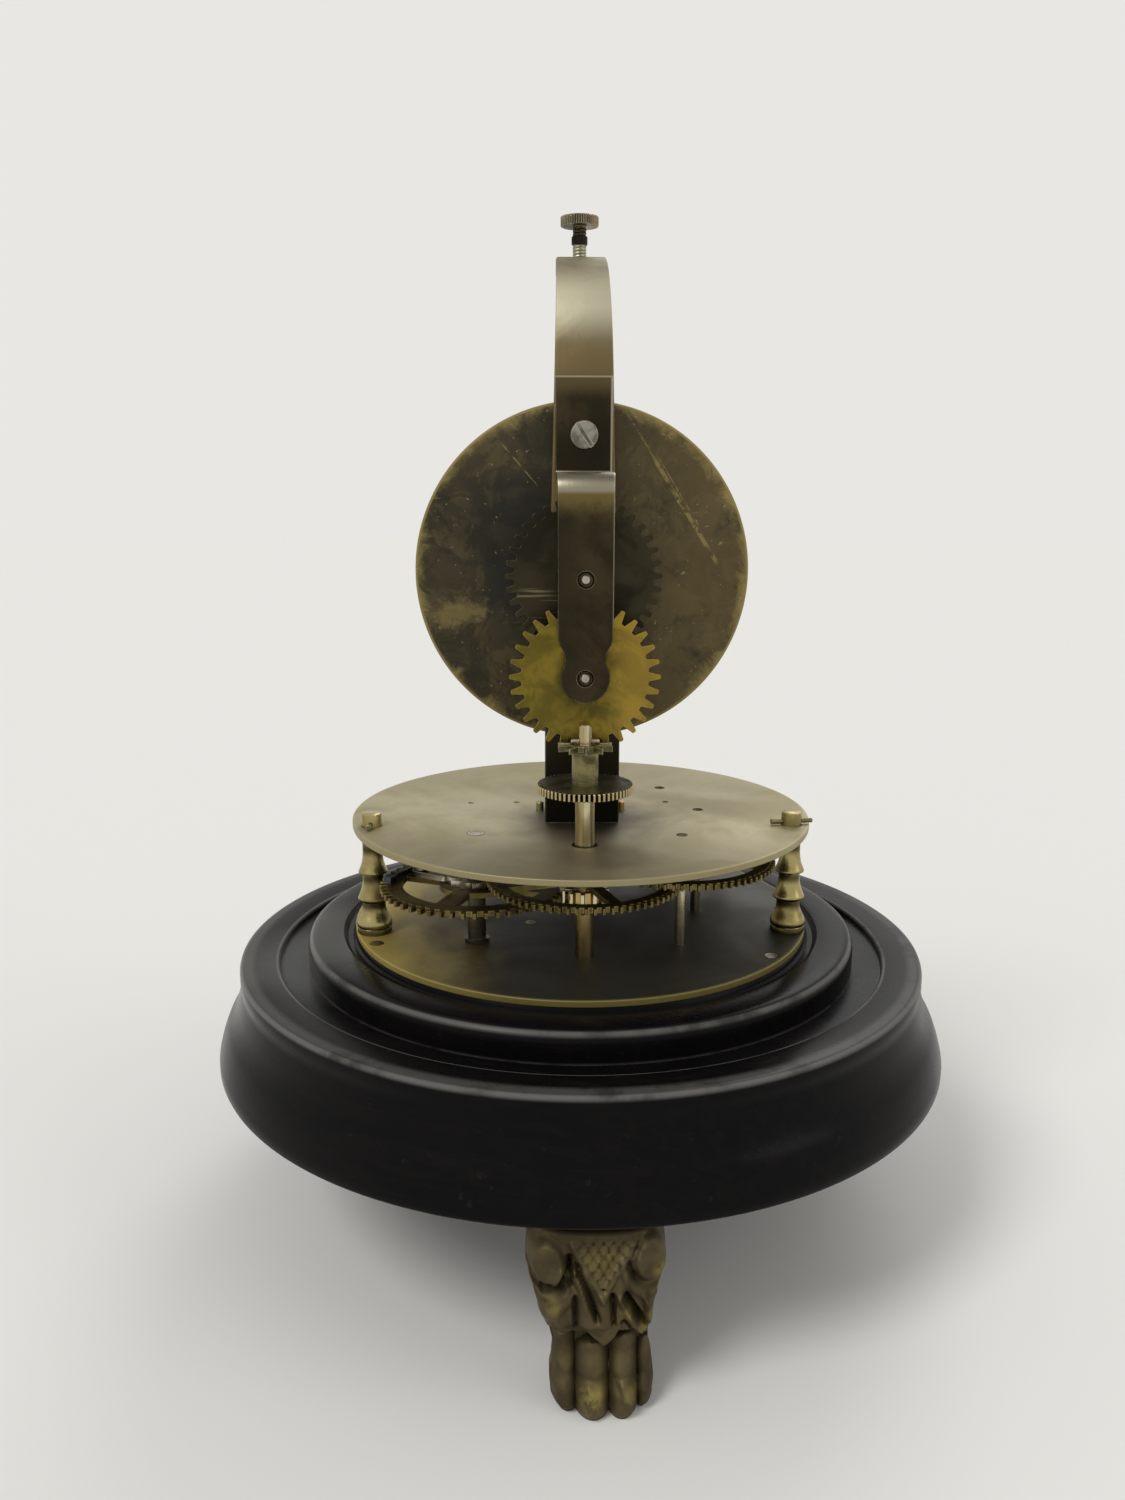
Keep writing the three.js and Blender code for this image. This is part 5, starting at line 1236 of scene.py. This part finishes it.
def cock_path():
    """Outer and inner edge of the strap on the middle plane, from the tab's top to the round end."""
    top, shelf = UPPER_TOP + 94.5, UPPER_TOP + 75.3
    t, back, tab = COCK_THICKNESS, COCK_BACK, ARM_BACK - COCK_THICKNESS
    outer_bend, inner_bend = COCK_BEND, 0.5
    rows = [((tab, z), (ARM_BACK, z)) for z in (top, top - 0.2, top - 1, top - 8, shelf + 4)]
    for k in range(7):
        a = k * math.pi / 12
        outer = (tab - inner_bend + inner_bend * math.cos(a), shelf + inner_bend - inner_bend * math.sin(a))
        inner = (ARM_BACK - (t + inner_bend) * (1 - math.cos(a)),
                 shelf - t + (t + inner_bend) * (1 - math.sin(a)))
        rows.append((outer, inner))
    for k in range(9):
        a = k * math.pi / 16
        outer = (back + outer_bend - outer_bend * math.sin(a), shelf - outer_bend + outer_bend * math.cos(a))
        inner = (back + outer_bend - (outer_bend - t) * math.sin(a),
                 shelf - outer_bend + (outer_bend - t) * math.cos(a))
        rows.append((outer, inner))
    heights = [160, 155, 150, 146.3, 142, 138, 134.5, 134, 133.2, 132.4, 131.5, 130.6, 129.6, 129.0]
    heights += [MOTION_AXIS + COCK_END_RADIUS * math.cos(math.radians(a)) for a in range(62, 177, 6)]
    heights.append(MOTION_AXIS - COCK_END_RADIUS + 0.015)
    rows += [((back, z), (back + t, z)) for z in heights]
    return rows


def cock_width(z):
    if z < 129.29:
        return 2 * math.sqrt(max(0.04, COCK_END_RADIUS ** 2 - (z - MOTION_AXIS) ** 2))
    table = [(129.29, 8.3), (131.2, 8.3), (132.2, 9.0), (133.4, 10.6), (134.5, 11.0), (136, 11.2),
             (165, 11.3), (168, 11.8)]
    return between(table, z)


def slotted_screw(node, radius, head, height, length, seat, z, slot, turn):
    """A cheese-head screw lying along +Y, its head's inner face at y = seat."""
    profile = [(0, -height), (head - 0.5, -height), (head - 0.12, -height + 0.12), (head, -height + 0.45),
               (head, -0.1), (head - 0.1, 0.0), (radius, 0.0), (radius, length), (0, length)]
    obj = to_object(f"fine_{node}", revolve(profile, 48))
    cut = block(-slot / 2, slot / 2, -head * 1.5, head * 1.5, -height - 1, -height * 0.3, 0.02)
    carve(obj, cut.turned(turn))
    obj.data.transform(Matrix(((-1, 0, 0, 0), (0, 0, 1, seat * MM), (0, 1, 0, z * MM), (0, 0, 0, 1))))
    finish_piece(obj, "frame", "screw", [node])


def cock():
    stations = [(o, i, cock_width(o[1])) for o, i in cock_path()]
    obj = to_object("fine_rear_cock", strap(stations, 0.28))
    sink = [(0, -0.5), (1.85, -0.5), (1.72, 0.02), (1.35, 0.5), (0.97, 0.62), (0.97, 3.0), (0, 3.0)]
    for z in (DIAL_AXIS, MOTION_AXIS):
        carve(obj, revolve(sink, 40).facing(COCK_BACK, z))
    finish_piece(obj, "frame", "cock", ["rear_cock"])
    slotted_screw("cock_screw", 1.5, 2.9, 1.7, 5.6, ARM_BACK - COCK_THICKNESS, UPPER_TOP + 82.8, 0.75, -0.6)
    for i, level in enumerate((68.5, 24)):
        slotted_screw(f"dial_screw_{i + 1}", 1.2, 2.2, 1.2, 6.9, ARM_BACK, UPPER_TOP + level, 0.5, 0.2 + i)


# Dial


def dial():
    r = DIAL_RADIUS
    pan = [(DIAL_HOLE, 0), (r - 0.7, 0), (r - 0.25, 0.12), (r - 0.04, 0.4), (r, 0.8), (r, 2.7),
           (r - 0.15, 3.1), (r - 0.5, 3.35), (r - 1.0, 3.4), (r - 1.6, 3.35), (r - 2.2, 3.05),
           (r - 2.6, 2.5), (r - 2.8, 1.9), (r - 3.0, 1.5), (r - 3.0, 1.0), (DIAL_HOLE, 1.0), (DIAL_HOLE, 0)]
    fine("dial_plate", revolve(pan, 180).facing(DIAL_BACK, DIAL_AXIS), "frame", "dial")
    face_radius = r - 3.2
    face = blank([circle(face_radius, 160), circle(DIAL_HOLE, 48)], 1.0, 0.6, 0.05)
    fine("dial_face", face.facing(DIAL_BACK, DIAL_AXIS), "frame", "paper", SHEET)
    piece("dial_marks", dial_marks(face_radius).facing(DIAL_BACK, DIAL_AXIS), "frame", "ink")


NUMERALS = ["XII", "I", "II", "III", "IIII", "V", "VI", "VII", "VIII", "IX", "X", "XI"]
LETTER_WIDTHS = {"I": 1.7, "V": 4.3, "X": 4.3}


def letter_strokes(letter, x, height):
    """Strokes [x0, y0, x1, y1, width] of a Roman letter whose left side is at x."""
    thick, thin, serif = 1.1, 0.35, 0.3
    w = LETTER_WIDTHS[letter]
    middle = x + w / 2
    if letter == "I":
        strokes = [(middle, 0, middle, height, thick)]
        feet_at = [(middle, 0, 0.85), (middle, height, 0.85)]
    elif letter == "V":
        strokes = [(x + 0.9, height, middle + 0.1, 0, thick), (x + w - 0.7, height, middle + 0.25, 0, thin)]
        feet_at = [(x + 0.9, height, 0.95), (x + w - 0.7, height, 0.7)]
    else:
        strokes = [(x + 0.8, height, x + w - 0.8, 0, thick), (x + w - 0.8, height, x + 0.8, 0, thin)]
        feet_at = [(x + 0.8, 0, 0.75), (x + w - 0.8, 0, 0.85), (x + 0.8, height, 0.85),
                   (x + w - 0.8, height, 0.75)]
    return strokes + [(fx - span, fy, fx + span, fy, serif) for fx, fy, span in feet_at]


def dial_marks(face_radius):
    marks = Shape()
    bottom, top = 1.55, 1.64
    lift = 0

    def bar(points):
        nonlocal lift
        lift = (lift + 1) % 5
        high = top + lift * 0.004
        marks.merge(loft([[(x, y, bottom) for x, y in points], [(x, y, high) for x, y in points]]))

    def stroke_at(strokes, radius, angle):
        for x0, y0, x1, y1, width in strokes:
            length = math.hypot(x1 - x0, y1 - y0)
            nx, ny = -(y1 - y0) / length * width / 2, (x1 - x0) / length * width / 2
            corners = [(x0 - nx, y0 - ny), (x1 - nx, y1 - ny), (x1 + nx, y1 + ny), (x0 + nx, y0 + ny)]
            placed = []
            for x, y in corners:
                c, s = math.cos(-angle), math.sin(-angle)
                px, py = x, y + radius
                placed.append((px * c - py * s, px * s + py * c))
            bar(placed)

    height = 5.6
    for hour, text in enumerate(NUMERALS):
        total = sum(LETTER_WIDTHS[c] for c in text)
        x = -total / 2
        strokes = []
        for c in text:
            strokes += letter_strokes(c, x, height)
            x += LETTER_WIDTHS[c]
        stroke_at(strokes, face_radius - 11.2, TAU * hour / 12)
    for minute in range(60):
        wide = 0.75 if minute % 5 == 0 else 0.3
        stroke_at([(0, 0, 0, 1.7, wide)], face_radius - 4.0, TAU * minute / 60)
    for inner, width in ((face_radius - 2.2, 0.25), (face_radius - 4.1, 0.25), (face_radius - 12.4, 0.3)):
        outer = inner + width
        ring = [(inner, bottom), (outer, bottom), (outer, top), (inner, top), (inner, bottom)]
        marks.merge(revolve(ring, 160))
    return marks


# Gearing behind the dial, hands


def hand_loop(length, width, hub, turn):
    """A spade hand: hub, slim stem and a leaf with a long point, turned clockwise from upright by -turn."""
    spade = length * 0.64
    leaf = [(0.26, -1.9), (0.55, -1.7), (0.30, -1.35), (0.55, -0.9), (1.15, -0.55), (1.5, 0.1), (1.45, 0.7),
            (1.1, 1.3), (0.6, 1.9), (0.3, 2.5), (0.16, 3.2)]
    half = [(width * 0.30, hub * 0.96), (width * 0.24, spade * 0.6)]
    half += [(width * x, spade + width * y) for x, y in leaf]
    half.append((width * 0.07, length))
    neck = math.asin(width * 0.30 / hub)
    around = [polar(hub, math.pi / 2 + neck + k / 40 * (TAU - 2 * neck)) for k in range(41)]
    loop = around + half + [(-x, y) for x, y in reversed(half)]
    return [polar(math.hypot(x, y), math.atan2(y, x) + turn) for x, y in loop]


def hand_gearing():
    down = -math.pi / 2
    hand_module = 2 * HAND_CENTRES / 45
    minute_back, hand_back = -24.4, -16.4
    inside = COCK_BACK + COCK_THICKNESS

    pivot = raised(COCK_BACK, [(0, 0.1), (0.75, 0.1), (0.9, 0.25)]) + [(0.9, inside + 0.1)]
    shaft = [(1.5, inside + 0.1), *raised(ARM_BACK, [(1.5, -0.1), (0.8, -0.1), (0.8, 2.4), (0, 2.4)])]
    motion = revolve(pivot + shaft, 36)
    leaves = pinion_leaves(9, hand_module, math.pi / 2 + math.pi / 9)
    motion.merge(blank([leaves], hand_back - 1, 3.2, 0.08))
    fine("motion_arbor", motion.facing(0, MOTION_AXIS), "motion", "steel")

    teeth = gear_loop(30, MINUTE_MODULE, 0.6, MINUTE_DEDENDUM, down + math.pi / 30, 0.62, 0.35, 0.16, 0.04)
    wheel = blank([teeth, circle(1.53, 28)], minute_back, 1.3)
    collar = revolve([(1.5, 0.0), (2.9, 0.0), (3.1, 0.2), (3.1, 0.7), (1.5, 0.7), (1.5, 0.0)], 40)
    wheel.merge(collar.moved(dz=minute_back + 1.3))
    fine("minute_wheel", wheel.facing(0, MOTION_AXIS), "motion", "minute_wheel", SHEET)

    shaft = [(1.3, inside + 0.1), (1.3, 1.7), (1.0, 1.7), (1.0, 4.3), (0.8, 4.6), (0, 4.6)]
    arbor = revolve(pivot + shaft, 36)
    leaves = pinion_leaves(10, MINUTE_MODULE, down)
    arbor.merge(blank([leaves], minute_back - 0.5, 2.3, 0.08))
    fine("minute_arbor", arbor.facing(0, DIAL_AXIS), "minute", "steel")

    pipe = revolve([(1.38, hand_back), (3.5, hand_back), (3.5, ARM_BACK - 0.1), (2.6, ARM_BACK - 0.1),
                    (2.6, 0.9), (1.38, 0.9), (1.38, hand_back)], 48)
    teeth = gear_loop(36, hand_module, 0.6, 1.5, down, 0.6, 0.42, 0.2)
    big = blank([teeth, circle(2.6, 40)], hand_back, 1.2)
    fine("hour_hand_wheel", pipe.merge(big).facing(0, DIAL_AXIS), "hour_hand", "hand_wheel",
         SHEET)

    hour_turn, minute_turn = math.radians(-304.25), math.radians(-51)
    length = DIAL_RADIUS * 0.55
    hour = blank([hand_loop(length, 2.0, 3.8, hour_turn), circle(2.63, 40)], 0.2, 0.7, 0.12, 2)
    fine("hour_hand", hour.facing(0, DIAL_AXIS), "hour_hand", "blued", SHEET)
    length = DIAL_RADIUS * 0.8
    minute = blank([hand_loop(length, 1.7, 2.4, minute_turn), circle(1.03, 32)], 1.7, 0.7, 0.12, 2)
    fine("minute_hand", minute.facing(0, DIAL_AXIS), "minute", "blued", SHEET)
    nut = [(1.03, 2.4), (1.75, 2.4), (1.9, 2.55), (1.9, 3.1), (1.6, 3.6), (1.2, 3.8), (1.03, 3.8),
           (1.03, 2.4)]
    fine("hand_nut", revolve(nut, 40).facing(0, DIAL_AXIS), "minute", "bob")


# Setting wheel and star pinion on the hour arbor


def knurl_loop(radius, depth, count, per=6):
    """A ribbed circle: each rib is round and each groove sharp."""
    loop = []
    for i in range(count * per):
        t = (i % per) / per
        loop.append(polar(radius - depth * (1 - math.sin(math.pi * t) ** 0.7), TAU * i / (count * per)))
    return loop


def knurled_head(radius, depth, count, bottom, height, ease, centre):
    """A disc with a knurled rim, eased at both ends."""
    plain = radius - depth
    loops = []
    for scale, z in ((1 - ease / radius, bottom), (1, bottom + ease), (1, bottom + height - ease),
                     (1 - ease / radius, bottom + height)):
        loop = knurl_loop(radius * scale, depth, count)
        loops.append([(x + centre[0], y + centre[1], z) for x, y in loop])
    for inset in (0.25, 0.9):
        ring = circle(plain - ease - inset, len(loops[0]), centre)
        loops.append([(x, y, bottom + height) for x, y in ring])
        loops.insert(0, [(x, y, bottom) for x, y in ring])
    return loft(loops)


def setting():
    bottom = UPPER_TOP + 11.5
    fine("set_wheel", knurled_head(SET_WHEEL_RADIUS, 0.75, 60, bottom, 1.6, 0.12, HOUR), "setting",
         "set_wheel")
    boss_bottom = bottom + 1.6
    bore = HOUR_SHAFT + 0.08
    low = raised(boss_bottom, [(bore, 0), (2.7, 0), (2.7, 0.5), (2.55, 0.6), (2.55, 1.0), (2.7, 1.1)])
    high = raised(STAR_TOP, [(2.7, -1.5), (2.5, -1.2), (2.5, -0.05), (bore, -0.05)])
    boss = revolve([*low, *high, (bore, boss_bottom)], 48, HOUR)
    star = []
    for i in range(10):
        a = math.pi / 2 + TAU * i / 10
        half = [(3.2, 0.42), (4.4, 0.33), (5.3, 0.24), (5.6, 0.17), (5.75, 0.07)]
        star += [polar(r, a - w / r) for r, w in half] + [polar(r, a + w / r) for r, w in reversed(half)]
    leaves = blank([star, circle(bore, 28)], STAR_TOP - STAR_THICKNESS, STAR_THICKNESS).moved(*HOUR)
    fine("star_pinion", boss.merge(leaves), "setting", "star", SHEET)


# Pendulum, its crank and its regulating screw


def threaded(radius, bottom, top, pitch, depth, steps=32):
    """A screw's shank with a real thread."""
    rows = max(2, int((top - bottom) / (pitch / 5)))
    loops = []
    for k in range(rows + 1):
        z = bottom + (top - bottom) * k / rows
        fade = min(1.0, (z - bottom) / pitch, (top - z) / pitch)
        loop = []
        for i in range(steps):
            t = (z / pitch - i / steps) % 1.0
            r = radius - depth * fade * (1 - abs(2 * t - 1))
            loop.append((*polar(r, TAU * i / steps, CRANK), z))
        loops.append(loop)
    return loft(loops)


def pendulum():
    tilt = math.radians(PENDULUM_TILT)
    pivot_z = UPPER_TOP + PIVOT_HEIGHT
    c, s = math.cos(tilt), math.sin(tilt)

    def hang(shape):
        return shape.changed(lambda x, y, z: (x, y * c - z * s, y * s + z * c)).moved(*CRANK, pivot_z)

    wire = revolve([(0, -82.6), (0.3, -82.6), (0.3, -0.05), (0, -0.05)], 16)
    fine("suspension_wire", hang(wire), "pendulum", "steel")
    tail_end = -(PIVOT_HEIGHT - CRANK_HEIGHT + 1) / c
    bob = [(0, tail_end), (0.3, tail_end), (0.62, tail_end + 0.4), (0.7, tail_end + 0.9), (0.7, -99.2),
           (1.2, -98.9), (1.9, -98.2), (2.1, -97.6), (2.6, -97.45), (6.2, -97.3), (6.9, -97.0), (7.4, -96.3),
           (7.6, -95.4), (7.6, -93.6), (7.45, -93.45), (7.45, -93.15), (7.6, -93.0), (7.6, -87.0),
           (7.45, -86.85), (7.45, -86.55), (7.6, -86.4), (7.6, -85.2), (7.4, -84.5), (6.8, -83.9),
           (5.6, -83.5), (3.6, -83.3), (2.0, -83.15), (1.5, -82.9), (1.1, -82.6), (0.8, -82.5), (0, -82.5)]
    fine("pendulum_bob", hang(revolve(bob, 96)), "pendulum", "bob")

    level = UPPER_TOP + CRANK_HEIGHT
    reach = math.tan(tilt) * (PIVOT_HEIGHT - CRANK_HEIGHT - 0.8)
    outline = [polar(3.0, math.pi + k * math.pi / 24) for k in range(25)]
    outline += [polar(2.6, k * math.pi / 24, (0, reach)) for k in range(25)]
    slot = [polar(1.05, math.pi + k * math.pi / 16, (0, reach - 1.1)) for k in range(17)]
    slot += [polar(1.05, k * math.pi / 16, (0, reach + 0.8)) for k in range(17)]
    crank = blank([outline, circle(1.23, 28), slot], level, 1.6, 0.15, 2)
    fine("crank", crank.moved(*CRANK), "crank", "bob", SHEET)
    low = [(0, RING_TOP + 0.1), (0.8, RING_TOP + 0.1), (0.8, LOWER_TOP), (1.2, LOWER_TOP)]
    high = raised(level, [(1.2, -1), (2.1, -1), (2.2, -0.9), (2.2, -0.02), (1.2, -0.02), (1.2, 1.8),
                          (1.0, 2.0), (0, 2.0)])
    shaft = revolve(low + high, 40, CRANK)
    shaft.merge(driven_pinion(CRANK, FIFTH, 8, 64, WHEEL_LEVELS["fifth"], 22.7))
    fine("crank_arbor", shaft, "crank", "steel")

    head = UPPER_TOP + 129.9
    screw = threaded(1.6, pivot_z, head + 0.3, 0.7, 0.16)
    top = knurled_head(4.3, 0.3, 48, head, 2.1, 0.1, CRANK)
    fine("thumb_screw", screw.merge(top), "regulator", "thumb")
    nut = [(1.63, 218.0), (1.72, 218.0), (1.82, 218.15), (1.82, 219.65), (1.72, 219.8), (1.63, 219.8),
           (1.63, 218.0)]
    fine("lock_nut", revolve(nut, 40, CRANK), "regulator", "dark_steel")


def carried_over():
    """Gives the model's own nodes that stay in sight their finish."""
    finishes = {
        "spring": ["mainspring", "click_spring"],
        "wheel": ["spring_post"],
        "steel": ["foot_screw_rear", "foot_screw_left", "foot_screw_right", "base_screw_1", "base_screw_2",
                  "base_screw_3", "arm_screw"],
    }
    for key, names in finishes.items():
        for name in names:
            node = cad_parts[name]
            node.data.materials.clear()
            node.data.materials.append(MATERIALS[key])


base()
feet()
plates()
pillars()
train()
winding()
arm()
cock()
dial()
hand_gearing()
setting()
pendulum()
carried_over()


# Floor, light and camera


def stage():
    mesh = bpy.data.meshes.new("floor")
    half = 4
    corners = [(-half, -half, 0), (half, -half, 0), (half, half, 0), (-half, half, 0)]
    mesh.from_pydata(corners, [], [[0, 1, 2, 3]])
    floor = bpy.data.objects.new("floor", mesh)
    bpy.context.scene.collection.objects.link(floor)
    s = Surface("floor_paint")
    rough = s.range(s.noise(40, 3), 0.3, 0.7, 0.8, 0.9)
    mesh.materials.append(s.finish((237, 236, 233), rough, metallic=0.0, Specular_IOR_Level=0.0))

    world = bpy.data.worlds.new("studio")
    bpy.context.scene.world = world
    world.use_nodes = True
    tree = world.node_tree
    light = tree.nodes["Background"]
    light.inputs["Color"].default_value = (1.0, 0.985, 0.955, 1.0)
    light.inputs["Strength"].default_value = 0.5
    seen = tree.nodes.new("ShaderNodeBackground")
    seen.inputs["Color"].default_value = srgb(232, 231, 227)
    seen.inputs["Strength"].default_value = 1.0
    path = tree.nodes.new("ShaderNodeLightPath")
    shown = tree.nodes.new("ShaderNodeMath")
    shown.operation = "MAXIMUM"
    mixed = tree.nodes.new("ShaderNodeMixShader")
    tree.links.new(path.outputs["Is Camera Ray"], shown.inputs[0])
    tree.links.new(path.outputs["Is Glossy Ray"], shown.inputs[1])
    tree.links.new(shown.outputs[0], mixed.inputs[0])
    tree.links.new(light.outputs[0], mixed.inputs[1])
    tree.links.new(seen.outputs[0], mixed.inputs[2])
    tree.links.new(mixed.outputs[0], tree.nodes["World Output"].inputs["Surface"])

    # Name, direction that it shines from, angle that it fills and strength
    lamps = (("key", (-0.55, -0.5, 0.85), 22, 1.25), ("fill", (0.8, -0.35, 0.5), 34, 0.35),
             ("back", (0.3, 0.8, 0.7), 30, 0.5))
    for name, place, spread, strength in lamps:
        lamp = bpy.data.lights.new(name, "SUN")
        lamp.angle = math.radians(spread)
        lamp.energy = strength
        obj = bpy.data.objects.new(name, lamp)
        obj.location = place
        obj.rotation_mode = "QUATERNION"
        obj.rotation_quaternion = (-Vector(place)).to_track_quat("-Z", "Y")
        bpy.context.scene.collection.objects.link(obj)
    bpy.context.scene.view_settings.view_transform = "Standard"


# The photograph's view: lens and frame height in pixels, angles in radians, place in millimetres
FOCAL = 1218.7
FRAME_HEIGHT = 1500
PITCH = 0.21155
ROLL = 0.0018
YAW = 0.01867
CAMERA_PLACE = (-9.146, -270.18, 164.10)
SENSOR = 36.0


def camera():
    forward = Vector((math.sin(YAW) * math.cos(PITCH), math.cos(YAW) * math.cos(PITCH), -math.sin(PITCH)))
    level = Vector((math.cos(YAW), -math.sin(YAW), 0.0))
    upright = level.cross(forward)
    right = math.cos(ROLL) * level + math.sin(ROLL) * upright
    up = -math.sin(ROLL) * level + math.cos(ROLL) * upright
    data = bpy.data.cameras.new("camera")
    data.sensor_width = SENSOR
    data.lens = SENSOR * FOCAL / FRAME_HEIGHT
    data.clip_start = 0.01
    obj = bpy.data.objects.new("camera", data)
    turn = Matrix((right, up, -forward)).transposed().to_4x4()
    obj.matrix_world = Matrix.Translation(Vector(CAMERA_PLACE) * MM) @ turn
    bpy.context.scene.collection.objects.link(obj)
    bpy.context.scene.camera = obj


stage()
camera()
